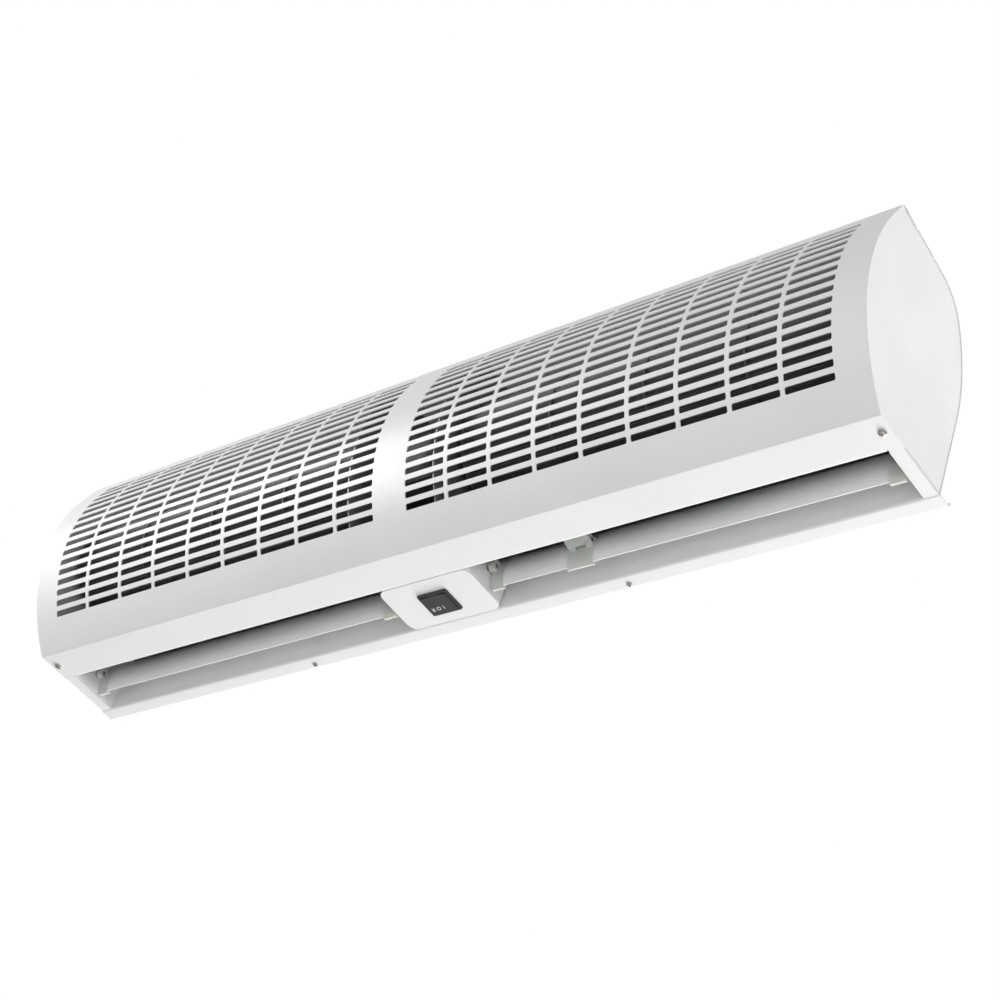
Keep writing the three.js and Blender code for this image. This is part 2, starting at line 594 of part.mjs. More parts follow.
function switchPanel() {
  const outline = roundedRect(TRAY_HALF, trayHalfY, PANEL_CORNER);
  const inside = roundedRect(TRAY_HALF - SHEET, trayHalfY - SHEET, PANEL_CORNER - SHEET);
  const tray = toSolid(alongZ(outline, 0, SHEET + PANEL_WALL).translate(0, trayCentreY, 0));
  const pocket = alongZ(inside, SHEET, SHEET + PANEL_WALL + 1).translate(0, trayCentreY, 0);
  const window = box(-BEZEL_LENGTH / 2 + 1.6, BEZEL_LENGTH / 2 - 1.6, SWITCH_Y - BEZEL_WIDTH / 2 + 1.6,
    SWITCH_Y + BEZEL_WIDTH / 2 - 1.6, -1, SHEET + 1);
  const pivots = turnedX([[-TRAY_HALF - 1, 0], [-TRAY_HALF - 1, PIVOT_RADIUS + GAP],
    [TRAY_HALF + 1, PIVOT_RADIUS + GAP], [TRAY_HALF + 1, 0]], PIVOT.y, PIVOT.z, 12);
  return cut(tray, pocket, window, pivots);
}

function switchHousing() {
  const [halfX, halfY] = [BEZEL_LENGTH / 2, BEZEL_WIDTH / 2];
  const bezel = alongZ(roundedRect(halfX, halfY, 1.2), -BEZEL_DEPTH, -GAP / 3).translate(0, SWITCH_Y, 0);
  const body = box(-halfX + 1.9, halfX - 1.9, SWITCH_Y - halfY + 1.9, SWITCH_Y + halfY - 1.9,
    -BEZEL_DEPTH / 2, SWITCH_BODY_TOP);
  const pocketHalf = ROCKER_WIDTH / 2 + GAP;
  const pocket = box(-ROCKER_RADIUS + 0.6, ROCKER_RADIUS - 0.6, SWITCH_Y - pocketHalf, SWITCH_Y + pocketHalf,
    -BEZEL_DEPTH - 1, ROCKER_AXIS_Z + 8);
  const swing = rockerTurning(ROCKER_RADIUS + GAP, pocketHalf);
  const axle = rockerTurning(ROCKER_PIN + GAP, pocketHalf + 1, 10);
  return cut(joined(bezel, body), pocket, swing, axle);
}

// a cylinder along Y on the rocker's axis
function rockerTurning(radius, half, sides = 20) {
  return new THREE.CylinderGeometry(radius, radius, 2 * half, sides).translate(0, SWITCH_Y, ROCKER_AXIS_Z);
}

// the rocker's two faces meet in a shallow valley on its axis
function switchRocker() {
  const drum = rockerTurning(ROCKER_RADIUS, ROCKER_WIDTH / 2);
  const axle = rockerTurning(ROCKER_PIN, ROCKER_WIDTH / 2 + 1, 10);
  const valley = new THREE.Shape([at(-20, -20), at(20, -20), at(20, -3.6), at(0, -2.2), at(-20, -3.6)]);
  const below = new THREE.ExtrudeGeometry(valley, { depth: 40, bevelEnabled: false })
    .rotateX(Math.PI / 2).translate(0, SWITCH_Y + 20, 0);
  const above = box(-20, 20, SWITCH_Y - 20, SWITCH_Y + 20, ROCKER_AXIS_Z + 3, 40);
  return cut(joined(drum, axle), below, above);
}

// ---------------------------------------------------------------- vanes

const onVane = (radius, degrees) => polar(VANE_CENTRE, radius, 180 - degrees);
const vaneArc = (radius, from, to, steps) =>
  Array.from({ length: steps + 1 }, (_, i) => onVane(radius, from + ((to - from) * i) / steps));

const VANE_START = OUTLET_START + VANE_CLEARANCE;
const VANE_END = WALL_IN - VANE_CLEARANCE;

function vaneBlade(side) {
  const section = new THREE.Shape([
    ...vaneArc(VANE_RADIUS, VANE_LOW, VANE_HIGH, 9),
    ...vaneArc(VANE_RADIUS - VANE_THICKNESS, VANE_HIGH, VANE_LOW, 9),
  ]);
  return alongX(section, side * (VANE_START + CLIP_WALL + GAP), side * (VANE_END - CLIP_WALL - GAP));
}

// a clip is a thin sleeve round the blade's front and lower edge, here as its section
function sleeveShape(wall, high) {
  const inner = VANE_RADIUS + GAP;
  const lip = VANE_LOW - 1.2;
  const foot = VANE_LOW - CLIP_FOOT;
  return new THREE.Shape([
    ...vaneArc(inner + wall, foot, high, 6),
    ...vaneArc(inner, high, lip, 6),
    onVane(VANE_RADIUS - VANE_THICKNESS - GAP, lip),
    onVane(VANE_RADIUS - VANE_THICKNESS - GAP, lip + 5),
    onVane(VANE_RADIUS - VANE_THICKNESS - GAP - wall, lip + 5),
    onVane(VANE_RADIUS - VANE_THICKNESS - GAP - wall, foot),
  ]);
}

const pivotBoss = (from, to, radius = PIVOT_BOSS) => turnedX(
  [[from, 0], [from, radius], [to, radius], [to, 0]], PIVOT.y, PIVOT.z, 12);

// the clip's end wall runs from the sleeve's back to the pivot boss
function clipEnd(from, to) {
  const inner = VANE_RADIUS - VANE_THICKNESS - GAP - CLIP_WALL;
  return alongX(new THREE.Shape([
    ...vaneArc(VANE_RADIUS + GAP + CLIP_WALL, VANE_LOW - CLIP_FOOT, VANE_HIGH - 8, 6),
    ...vaneArc(inner, VANE_HIGH - 8, VANE_LOW - CLIP_FOOT, 4),
  ]), from, to);
}

function vaneClip(face, inward) {
  const body = joined(
    alongX(sleeveShape(CLIP_WALL, VANE_HIGH - 8), face, face + inward * CLIP_LENGTH),
    clipEnd(face, face + inward * CLIP_WALL),
    pivotBoss(face, face + inward * 6));
  const corner = onVane(VANE_RADIUS + GAP + CLIP_WALL, VANE_LOW - CLIP_FOOT);
  const side = CLIP_CHAMFER * Math.SQRT2;
  const chamfer = new THREE.BoxGeometry(side, 40, side).rotateY(Math.PI / 4)
    .translate(face, corner.x, corner.y);
  return cut(body, pivotBoss(face - inward, face + inward * 7, PIVOT_RADIUS + GAP), chamfer);
}

// headed pin through a casing wall into a clip
function vanePin(headAt, inward, reach) {
  const x = (along) => headAt + inward * along;
  return turnedX([[x(-2.5), 0], [x(-2.5), 3.5], [x(0), 3.5], [x(0), PIVOT_RADIUS], [x(reach), PIVOT_RADIUS],
    [x(reach), 0]], PIVOT.y, PIVOT.z);
}

// clip in the middle of the right vane, with an ear each side of the stay's barrel
function middleClip() {
  const [low, high] = [STAY_X - STAY_HALF - 1, STAY_X + STAY_HALF + 1];
  const ear = earShape();
  const body = joined(
    alongX(sleeveShape(1, VANE_HIGH - 20), low, high),
    alongX(ear, STAY_X - STAY_HALF, STAY_X - STAY_BARREL - GAP),
    alongX(ear, STAY_X + STAY_BARREL + GAP, STAY_X + STAY_HALF));
  return cut(body, pivotBoss(low, high, STAY_PIN_RADIUS + GAP));
}

// round the pin in front, then running down into the sleeve's face in a hollow curve
function earShape() {
  const root = vaneArc(VANE_RADIUS + GAP + 0.4, PIVOT_ANGLE + 8, VANE_LOW / 2, 3);
  const belly = at(PIVOT.y, PIVOT.z - STAY_KNUCKLE);
  const bend = at(root.at(-1).x - 1.2, belly.y);
  const hollow = new THREE.QuadraticBezierCurve(root.at(-1), bend, belly).getPoints(3).slice(1);
  const nose = arc({ y: PIVOT.y, z: PIVOT.z }, STAY_KNUCKLE, 270, 90, 5).slice(1);
  return new THREE.Shape([...root, ...hollow, ...nose].reverse());
}

// stay from the outlet's front wall to the middle of the right vane
function vaneStay() {
  const [foot, top] = [STAY_Z - 8, STAY_Z + 4];
  const [under, over] = [PIVOT.z - STAY_KNUCKLE, PIVOT.z + STAY_KNUCKLE];
  const [heel, corner, reach] = [at(stayRootY(foot) + 1.5, foot), at(stayRootY(STAY_Z) + 2, STAY_Z),
    at(PIVOT.y - 12, STAY_Z - 0.6)];
  const hollow = new THREE.QuadraticBezierCurve(heel, corner, reach).getPoints(4);
  const web = new THREE.Shape([at(stayRootY(top), top), at(stayRootY(foot), foot), ...hollow,
    at(PIVOT.y, under), at(PIVOT.y, over), at(PIVOT.y - 10, over)]);
  const [low, high] = [STAY_X - STAY_BARREL, STAY_X + STAY_BARREL];
  const clear = STAY_KNUCKLE + GAP;
  const body = cut(toSolid(alongX(web, STAY_X - STAY_HALF, STAY_X + STAY_HALF)),
    pivotBoss(STAY_X - STAY_HALF - 1, low, clear), pivotBoss(high, STAY_X + STAY_HALF + 1, clear));
  return cut(body.add(toSolid(pivotBoss(low, high, STAY_KNUCKLE))),
    pivotBoss(low - 1, high + 1, STAY_PIN_RADIUS + GAP));
}

// just behind the outlet's front wall, at a height
function stayRootY(z) {
  const foot = at(STRIP_REAR_Y - SHEET - 2.5, SHEET + GAP);
  const along = (z - foot.y) / (tongueRoot.y - foot.y);
  return foot.x + (tongueRoot.x - foot.x) * along + GAP;
}

const stayPin = () => pivotBoss(STAY_X - STAY_HALF, STAY_X + STAY_HALF, STAY_PIN_RADIUS);

// ---------------------------------------------------------------- wall bracket and fasteners

// front face of the bracket's upturned lip, behind the hook's plate
const LIP_Y = BACK_Y + SHEET + 2 * GAP + BRACKET_SHEET;

function wallBracket() {
  const line = [at(WALL_Y, BRACKET_TOP), at(WALL_Y, BRACKET_BASE), at(LIP_Y, BRACKET_BASE),
    at(LIP_Y, HOOK_HEIGHT)];
  const channel = alongX(sheetShape(line, BRACKET_SHEET), -BRACKET_HALF, BRACKET_HALF);
  const feet = sides.map(([, side]) => {
    const drop = STRIP_BACK_Y - SHEET - 2 * GAP;
    const tab = [at(drop, BRACKET_BASE + 1), at(drop, SHEET + GAP), at(STRIP_BACK_Y - 10, SHEET + GAP)];
    return alongX(sheetShape(tab, BRACKET_SHEET), side * (HANG_SCREW_X - 12), side * (HANG_SCREW_X + 12));
  });
  const holes = [-250, -100, 100, 250].map((x) =>
    new THREE.CylinderGeometry(WALL_HOLE_RADIUS, WALL_HOLE_RADIUS, 8, 8).translate(x, WALL_Y, 95));
  const screws = sides.map(([, side]) =>
    turnedZ(screwHole(0, 5), side * HANG_SCREW_X, HANG_SCREW_Y, 12));
  return cut(joined(channel, ...feet), ...holes, ...screws);
}

// hook on the casing's back that straddles the bracket's lip
function hangingClip(side) {
  const plate = BACK_Y + SHEET + GAP;
  const tongue = plate + 2 * BRACKET_SHEET + 2 * GAP;
  const seat = HOOK_HEIGHT + GAP;
  const shape = new THREE.Shape([
    at(plate, seat + 20), at(plate, seat), at(tongue, seat), at(tongue, seat - 9),
    at(tongue + BRACKET_SHEET, seat - 9), at(tongue + BRACKET_SHEET, seat + BRACKET_SHEET),
    at(plate + BRACKET_SHEET, seat + BRACKET_SHEET), at(plate + BRACKET_SHEET, seat + 20),
  ]);
  return alongX(shape, side * (HOOK_X - 20), side * (HOOK_X + 20));
}

function panScrew(x, y, top) {
  return turnedZ([[-1.9, 0], [-1.9, 2.4], [-GAP / 2, 3.4], [-GAP / 2, SCREW_RADIUS], [top, SCREW_RADIUS],
    [top, 0]], x, y, 10);
}

// cable entry in the top of the casing, over the motor bay
const grommetMiddle = { x: 20, y: crest.x + 42 };

function grommetTool() {
  return turnedZ([[-8, 0], [-8, 7], [8, 7], [8, 0]], 0, 0).rotateX(-rad(TOP_SLOPE))
    .translate(grommetMiddle.x, grommetMiddle.y, innerTopZ(grommetMiddle.y));
}

function grommet() {
  return turnedZ([[-3, 4], [-3, 9.5], [-GAP, 9.5], [-GAP, 6.7], [SHEET + GAP, 6.7], [SHEET + GAP, 9.5],
    [3.2, 8.5], [3.2, 4]], 0, 0, 12).rotateX(-rad(TOP_SLOPE))
    .translate(grommetMiddle.x, grommetMiddle.y, innerTopZ(grommetMiddle.y));
}

// ---------------------------------------------------------------- assembly

add('front_cover', frontCover(), paint);
add('rear_casing', rearCasing(), paint);
add('switch_panel', switchPanel(), paint);
add('switch_housing', switchHousing(), blackPlastic);
add('switch_rocker', switchRocker(), blackPlastic);
add('motor_shaft', motorShaft(), steel);
add('motor_stator', stator(), motorPaint);
add('motor_cradle', motorCradle(), zinc);
add('capacitor', capacitor(), blackPlastic);
add('terminal_block', terminalBlock(), ivoryPlastic);
add('cable_grommet', grommet(), rubber);
add('wall_bracket', wallBracket(), zinc);
add('vane_stay', vaneStay(), ivoryPlastic);
add('vane_stay_pin', stayPin(), steel);
add('right_vane_middle_clip', middleClip(), ivoryPlastic);

for (const [name, side] of sides) {
  add(`${name}_end_plate`, endPlate(side), paint);
  add(`${name}_bulkhead`, bulkhead(side), paint);
  add(`${name}_partition`, partition(side), zinc);
  add(`${name}_stabiliser`, stabiliser(side), zinc);
  add(`${name}_scroll_plate`, scrollPlate(side), zinc);
  add(`${name}_impeller`, impeller(side), aluminium);
  add(`${name}_stub_shaft`, stubShaft(side), steel);
  add(`${name}_bearing_rubber`, bearingRubber(side), rubber);
  add(`${name}_bearing_bush`, bearingBush(side), steel);
  add(`${name}_motor_bell`, motorBell(side), zinc);
  add(`${name}_motor_ring`, motorRing(side), rubber);
  add(`${name}_vane_blade`, vaneBlade(side), paint);
  add(`${name}_vane_inner_clip`, vaneClip(side * VANE_START, side), ivoryPlastic);
  add(`${name}_vane_outer_clip`, vaneClip(side * VANE_END, -side), ivoryPlastic);
  add(`${name}_vane_inner_pin`, vanePin(side * (BAY_HALF - GAP), side, VANE_START + 5 - BAY_HALF), steel);
  add(`${name}_vane_outer_pin`, vanePin(side * (WALL_OUT + GAP), -side, WALL_OUT - VANE_END + 5), steel);
  add(`${name}_hanging_clip`, hangingClip(side), zinc);
  add(`${name}_cover_screw`, panScrew(side * (HALF - COVER_SCREW_INSET), COVER_SCREW_Y, 6), steel);
  add(`${name}_hanging_screw`, panScrew(side * HANG_SCREW_X, HANG_SCREW_Y, 7), steel);
}

airCurtain.position.set(0, -WALL_Y, -(BRACKET_BASE + BRACKET_TOP) / 2);

export default airCurtain;
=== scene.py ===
"""Looks of a wall-hung air curtain, 900 mm long, seen from below its right end."""

import json
from math import atan2, cos, degrees, hypot, pi, radians, sin, tan

import bmesh
import bpy
from mathutils import Matrix, Vector


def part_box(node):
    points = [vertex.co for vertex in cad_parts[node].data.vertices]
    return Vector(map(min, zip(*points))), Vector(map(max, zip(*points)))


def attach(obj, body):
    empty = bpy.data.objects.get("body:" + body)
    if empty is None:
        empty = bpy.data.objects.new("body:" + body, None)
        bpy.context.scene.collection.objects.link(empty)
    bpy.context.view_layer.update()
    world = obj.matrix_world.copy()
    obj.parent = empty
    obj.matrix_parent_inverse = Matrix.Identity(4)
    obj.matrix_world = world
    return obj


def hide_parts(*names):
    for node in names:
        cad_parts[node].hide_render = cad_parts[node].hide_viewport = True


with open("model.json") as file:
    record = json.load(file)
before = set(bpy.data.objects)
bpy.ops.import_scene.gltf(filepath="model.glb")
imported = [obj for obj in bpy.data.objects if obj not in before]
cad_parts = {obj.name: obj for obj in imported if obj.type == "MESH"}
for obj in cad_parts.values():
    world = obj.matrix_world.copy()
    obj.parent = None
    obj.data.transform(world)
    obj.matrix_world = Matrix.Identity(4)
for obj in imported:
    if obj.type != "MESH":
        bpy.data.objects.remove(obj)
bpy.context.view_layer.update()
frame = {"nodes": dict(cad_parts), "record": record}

MM = 0.001

# ---------------------------------------------------------------- sizes, in millimetres
# x runs to the right end, y to the wall, z up from the underside

WALL_Y = 16  # the wall, with the frame's origin on it
MIDDLE_Z = 70  # the frame's origin above the underside

LENGTH = 900
HALF = LENGTH / 2
SHEET = 1
GAP = 0.3  # between pieces that fit together
FOLD = 1.8  # radius of the sheets' folds
SHEET_EDGE = 0.12  # how far a sheet's edges are eased
SMOOTH_ANGLE = 40  # degrees; flatter corners are shaded smooth
BEVEL_ANGLE = 50  # degrees; sharper corners are eased
NEAR = 0.02  # how close a corner lies to the place it is picked by

# front cover
FRONT_Y = -81.1  # bottom front edge
LIP_ANGLE = 129.2  # degrees from the way to the wall
LIP_LENGTH = 31.2
LIP_FOLD_AIM = 5  # length up the lip that its fold is aimed at
LIP_POINTS = (8, 16, 24)  # lengths up the lip, past its fold
BOW_RADIUS = 141.6
BOW_ANGLE = 60.5
CREST_LENGTH = 22.5
SECTION_LENGTH = LIP_LENGTH + BOW_RADIUS * radians(BOW_ANGLE) + CREST_LENGTH
LOWER_BOW = 80  # length up the section to which the lip's curve reaches
TOP_FLANGE = 20
STRIP_REAR_Y = -48  # rear edge of the bottom flange
FLANGE_END = STRIP_REAR_Y - FOLD  # where the hem's fold starts
HEM_HEIGHT = 7
HEM_FOLD = FOLD * 0.98  # a little tighter, so that a flat is left before it
TAB_CORNER = 3  # rear corner of the flange's left end
PINHOLE_X, PINHOLE_Y, PINHOLE_RADIUS = -145, -76.5, 0.75

# slots of the front cover
ROWS, ROW_PITCH, FIRST_ROW = 16, 10, 35
COLUMNS, COLUMN_PITCH, FIRST_COLUMN = 9, 45.2, 38.9
SLOT_LENGTH, SLOT_HEIGHT, SLOT_CORNER = 41.6, 5.6, 1.3

# rear casing
BACK_Y = 1.2  # inner face of the back
STRIP_BACK_Y = 15.8  # rear edge of the rear flange
REAR_HEM = 4.5
TOP_SLOPE = 9.9  # degrees, down to the back
CORNER_RADIUS = 47
BACK_RADIUS = 149
BACK_ARC = 32  # degrees
REAR_LIP = 15  # tucked under the cover's top flange
JOG_START = 3  # behind the cover's top flange
GROMMET_BORE, GROMMET_REACH = 7, 8

# end plates
SIDE_STRIP = 12.8  # outlet's end to the casing's end
WALL_IN = HALF - SIDE_STRIP
HEM_HALF, TAB_START = WALL_IN - 1, WALL_IN + GAP
PLATE_OUT = HALF - 0.4
PLATE_IN = WALL_IN - 0.15  # the fold that stands up beside the outlet
PLATE_FOLD_HEIGHT = 9
PLATE_THICKNESS = 1.2
PLATE_GAP = 0.03  # plates to the sheets that they close
STRIP_GAP = 0.05  # plates to the bottom flange

# switch panel
BAY_HALF = 46.8
TRAY_HALF = BAY_HALF + 2 * SHEET + GAP
OUTLET_START = TRAY_HALF + GAP
PANEL_CORNER = 8
PANEL_WALL = 27
PANEL_EDGE = 0.4

# fan
FAN_RADIUS = 50
SCROLL_GAP = 5  # wheel to scroll plate
SCROLL_TO_BACK = 7
FAN_Y = BACK_Y - SCROLL_TO_BACK - SHEET - SCROLL_GAP - FAN_RADIUS
FAN_BELOW_CREST = 82
FAN_START = TRAY_HALF + 7.5
FAN_END = WALL_IN - 13
FAN_BLADES = 36
BLADE_DEPTH = 9.5
BLADE_SHEET = 0.6
BLADE_INSET = 0.5  # into the discs
BLADE_TIP = FAN_RADIUS - 0.6
BLADE_HEEL = BLADE_TIP - BLADE_DEPTH
BLADE_SWEEP = 14  # degrees from the heel forward to the tip
BLADE_CURVE = 1.6  # power by which the sweep grows
DISC = 2
HUB_LENGTH = 12
RING_HALF, RING_INSET = 0.6, 0.5  # half width, and reach inside the heels

# switch
SWITCH_Y = -21.7
BEZEL_LENGTH, BEZEL_WIDTH, BEZEL_DEPTH = 31.7, 25, 2
BEZEL_CORNER, BEZEL_EDGE = 1.6, 0.9
BEZEL_LAP = 1.6  # over the window in the panel
BEZEL_GAP = 0.05  # under the panel
HOUSING_INSET, HOUSING_TOP = 2, 24
ROCKER_RADIUS = 14
ROCKER_WIDTH = 19.6
ROCKER_AXIS_Z = 1
ROCKER_TOP = ROCKER_AXIS_Z + 3
ROCKER_PIN = 1.4
VALLEY = ((0, -2.2), (2.5, -2.3), (7, -2.72), (20, -3.6))  # half the rocker's face, as (x, z)
MARK_Y = SWITCH_Y + 4.6
MARK_HALF = 1.9  # half a mark's height
MARK_RISE = 0.1
BAR_HALF = 0.34
BAR_X = (-10.1, -8.5, 1.4)
RING_X, RING_BORE = -3.9, 1.3

# vanes
VANE_RADIUS = 29.5
VANE_Y, VANE_Z = 7, 16.5  # centre of the blade's curve
VANE_LOW, VANE_HIGH = -28.8, 55  # degrees from the level of the centre
VANE_THICKNESS = 1.2
VANE_CLEARANCE = 3.2
VANE_START = OUTLET_START + VANE_CLEARANCE
VANE_END = WALL_IN - VANE_CLEARANCE
VANE_DIMPLES = ((141, -24), (180, -24))  # x, and degrees
DIMPLE_RADIUS, DIMPLE_DEPTH = 0.8, 0.7
CLIP_LENGTH = 13
CLIP_FOOT = 3.8  # degrees that a clip reaches below the blade
CLIP_LIP = 1.2  # degrees of plastic left under the blade
CLIP_HOOK = 5  # degrees that a clip reaches up behind the blade
CLIP_TOP = VANE_HIGH - 8
CLIP_WALL = 1.4
CLIP_CHAMFER = 3
PIVOT_STANDOFF = 4.6
PIVOT_ANGLE = 4.2
PIVOT_RADIUS = 2
PIVOT_BOSS, BOSS_LENGTH = 4.6, 6
STAY_X = 144
STAY_HALF = 12
STAY_KNUCKLE = 2.8
STAY_BARREL = 5
STAY_PIN = 1.4
STAY_CLIP_WALL = 1
STAY_CLIP_TOP = VANE_HIGH - 20

# screws
COVER_SCREW_X, COVER_SCREW_Y = HALF - 7.5, -66
HANG_SCREW_X, HANG_SCREW_Y = 172, 10.5
SCREW_SHANK, SCREW_LENGTH = 1.7, 6
HEAD_SEAT = 0.15
CROSS_TURN = 25  # degrees
CROSS_HALF_WIDTH = 0.42
CROSS_SHARE = 0.62  # of the head's radius

CORNERS = ((-1, -1), (1, -1), (1, 1), (-1, 1))
MIRROR = Matrix.Diagonal((-1, 1, 1, 1))


# ---------------------------------------------------------------- camera, in degrees and metres

CAMERA_AZIMUTH, CAMERA_ELEVATION, CAMERA_ROLL = 51.496, -38.623, 21.769
CAMERA_PLACE = (1.1482, -0.9254, -1.1193)
CAMERA_SENSOR, CAMERA_LENS = 36, 78.94
CAMERA_SHIFT = (-0.0021, 0.0130)


def photo_camera():
    """A camera below the right end, rolled to one side."""
    data = bpy.data.cameras.new("camera")
    data.sensor_width = CAMERA_SENSOR
    data.lens = CAMERA_LENS
    data.shift_x, data.shift_y = CAMERA_SHIFT
    data.clip_end = 50
    camera = bpy.data.objects.new("camera", data)
    bpy.context.scene.collection.objects.link(camera)
    aim = (Matrix.Rotation(radians(CAMERA_AZIMUTH), 4, "Z")
           @ Matrix.Rotation(radians(90 - CAMERA_ELEVATION), 4, "X")
           @ Matrix.Rotation(radians(CAMERA_ROLL), 4, "Z"))
    camera.matrix_world = Matrix.Translation(CAMERA_PLACE) @ aim
    bpy.context.scene.camera = camera


# ---------------------------------------------------------------- nodes

class Wire:
    """A value, colour or vector on its way through nodes."""

    def __init__(self, graph, socket):
        self.graph = graph
        self.socket = socket

    def math(self, operation, other):
        return self.graph.node("ShaderNodeMath", {"operation": operation}, {0: self, 1: other})

    def __add__(self, other):
        return self.math("ADD", other)

    def __mul__(self, other):
        return self.math("MULTIPLY", other)

    __radd__ = __add__
    __rmul__ = __mul__

    def larger(self, other):
        return self.math("MAXIMUM", other)

    def ramp(self, low, high):
        """0 up to low and 1 from high on, with a smooth rise between."""
        return self.graph.node(
            "ShaderNodeMapRange", {"interpolation_type": "SMOOTHSTEP"}, {0: self, 1: low, 2: high})


class Graph:
    """The nodes of a material or of the world."""

    def __init__(self, tree):
        self.tree = tree

    def node(self, kind, settings=None, inputs=None, output=0):
        """A node of a kind, with its settings made first, then its sockets' values or links."""
        node = self.tree.nodes.new(kind)
        for key, value in (settings or {}).items():
            setattr(node, key, value)
        for key, value in (inputs or {}).items():
            self.plug(node.inputs[key], value)
        return None if output is None else Wire(self, node.outputs[output])

    def plug(self, socket, value):
        """Links a wire to a socket, or sets the socket's own value."""
        if isinstance(value, Wire):
            self.tree.links.new(value.socket, socket)
        else:
            socket.default_value = value


class Surface(Graph):
    """A material, its shader and the patterns that feed it."""

    def __init__(self, name, colour, roughness, metallic=0.0, **constants):
        self.material = bpy.data.materials.new(name)
        self.material.use_nodes = True
        super().__init__(self.material.node_tree)
        self.shader = self.tree.nodes["Principled BSDF"]
        self.set(Base_Color=(*colour, 1.0), Roughness=roughness, Metallic=metallic, **constants)

    def set(self, **values):
        """The shader's sockets, by their names with underscores for spaces."""
        for key, value in values.items():
            self.plug(self.shader.inputs[key.replace("_", " ")], value)

    def place(self, stretch=(1, 1, 1)):
        """Where a point lies, in metres along the frame's axes, stretched."""
        point = self.node("ShaderNodeTexCoord", output="Object")
        return self.node("ShaderNodeVectorMath", {"operation": "MULTIPLY"}, {0: point, 1: stretch})

    def noise(self, scale, detail=2.0, stretch=(1, 1, 1)):
        """Soft noise, from 0 to 1."""
        return self.node("ShaderNodeTexNoise", None,
                         {"Vector": self.place(stretch), "Scale": scale, "Detail": detail})

    def cells(self, scale):
        """Patches with a colour each, as the crystals on zinc."""
        return self.node("ShaderNodeTexVoronoi", None,
                         {"Vector": self.place(), "Scale": scale}, "Color")

    def mix(self, share, one, other):
        """Two colours mixed."""
        colours = {0: share, 6: (*one, 1), 7: (*other, 1)}
        return self.node("ShaderNodeMix", {"data_type": "RGBA"}, colours, 2)

    def bump(self, height, strength, depth):
        """Small relief, its depth in metres."""
        relief = {"Height": height, "Strength": strength, "Distance": depth}
        self.set(Normal=self.node("ShaderNodeBump", None, relief))


# ---------------------------------------------------------------- materials

def powder_coat():
    """White powder coat: a fine orange peel, and a gloss that wanders slightly."""
    coat = Surface("white_powder_coat", (0.9, 0.902, 0.9), 0.42, Specular_IOR_Level=0.9)
    peel = coat.noise(900, 1.5)
    patches = coat.noise(14, 3)
    coat.set(Roughness=0.4 + 0.05 * patches.ramp(0.35, 0.65))
    coat.set(Base_Color=coat.mix(patches.ramp(0.3, 0.7), (0.89, 0.894, 0.894), (0.905, 0.908, 0.906)))
    coat.bump(peel, 0.1, 0.0002)
    return coat.material


def galvanised():
    """Galvanised sheet, with its crystals in two greys; both greys are kept darker than bare zinc as
    painted shade for the inside of the casing.
    """
    # painted shade: this grey and the crystals' two greys below are darker than bare zinc, standing in
    # for the shade inside the casing
    zinc = Surface("galvanised_sheet_painted_shade", (0.3, 0.305, 0.31), 0.45, 0.5)
    spangle = zinc.cells(160)
    crystals = zinc.node("ShaderNodeRGBToBW", None, {0: spangle}).ramp(0, 1)
    zinc.set(Roughness=0.32 + 0.18 * crystals)
    zinc.set(Base_Color=zinc.mix(0.8 * crystals, (0.26, 0.265, 0.27), (0.36, 0.365, 0.37)))
    zinc.bump(zinc.noise(600), 0.1, 0.0002)
    return zinc.material


def rolled_aluminium():
    """The wheels' dull aluminium, with its grain along the blades; its dark colour is partly the wheels'
    own dark finish and partly painted shade of the casing's inside.
    """
    # dark base colour: partly the wheels' own finish, partly painted shade inside the casing
    metal = Surface("impeller_metal_and_painted_shade", (0.14, 0.142, 0.145), 0.45, 0.3)
    grain = metal.noise(60, 3, (1, 20, 20)).ramp(0.3, 0.7)
    metal.set(Roughness=0.34 + 0.16 * grain)
    metal.set(Base_Color=metal.mix(grain, (0.12, 0.122, 0.125), (0.17, 0.172, 0.175)))
    return metal.material


def bright_steel():
    """Plated steel with fine scratches."""
    steel = Surface("bright_steel", (0.42, 0.4, 0.37), 0.3, 1.0)
    scratch = steel.noise(500, 3, (1, 6, 1))
    steel.set(Roughness=0.2 + 0.16 * scratch.ramp(0.3, 0.7))
    steel.bump(scratch, 0.15, 0.0001)
    return steel.material


def black_plastic():
    """Black plastic with a fine grain."""
    plastic = Surface("black_plastic", (0.03, 0.03, 0.032), 0.35)
    grain = plastic.noise(1800, 2)
    plastic.set(Roughness=0.3 + 0.12 * grain.ramp(0.3, 0.7))
    plastic.bump(grain, 0.12, 0.0001)
    return plastic.material


def ivory_plastic():
    """Milky plastic that lets some light through."""
    plastic = Surface("milky_clip_plastic", (0.86, 0.87, 0.83), 0.3, Transmission_Weight=0.35,
                      Subsurface_Weight=0.3, Subsurface_Scale=0.002)
    cloud = plastic.noise(80, 2).ramp(0.3, 0.7)
    plastic.set(Base_Color=plastic.mix(cloud, (0.85, 0.86, 0.81), (0.88, 0.89, 0.86)))
    plastic.bump(plastic.noise(700), 0.08, 0.0002)
    return plastic.material


def switch_print():
    """Pale print on the rocker, a little uneven in its gloss."""
    paint = Surface("switch_mark_paint", (0.75, 0.76, 0.77), 0.5)
    paint.set(Roughness=0.42 + 0.16 * paint.noise(2500, 2).ramp(0.3, 0.7))
    return paint.material


def black_rubber():
    """Dull black rubber."""
    rubber = Surface("black_rubber", (0.025, 0.025, 0.025), 0.7)
    grain = rubber.noise(900, 3)
    rubber.set(Roughness=0.6 + 0.25 * grain.ramp(0.3, 0.7))
    rubber.bump(grain, 0.2, 0.0002)
    return rubber.material


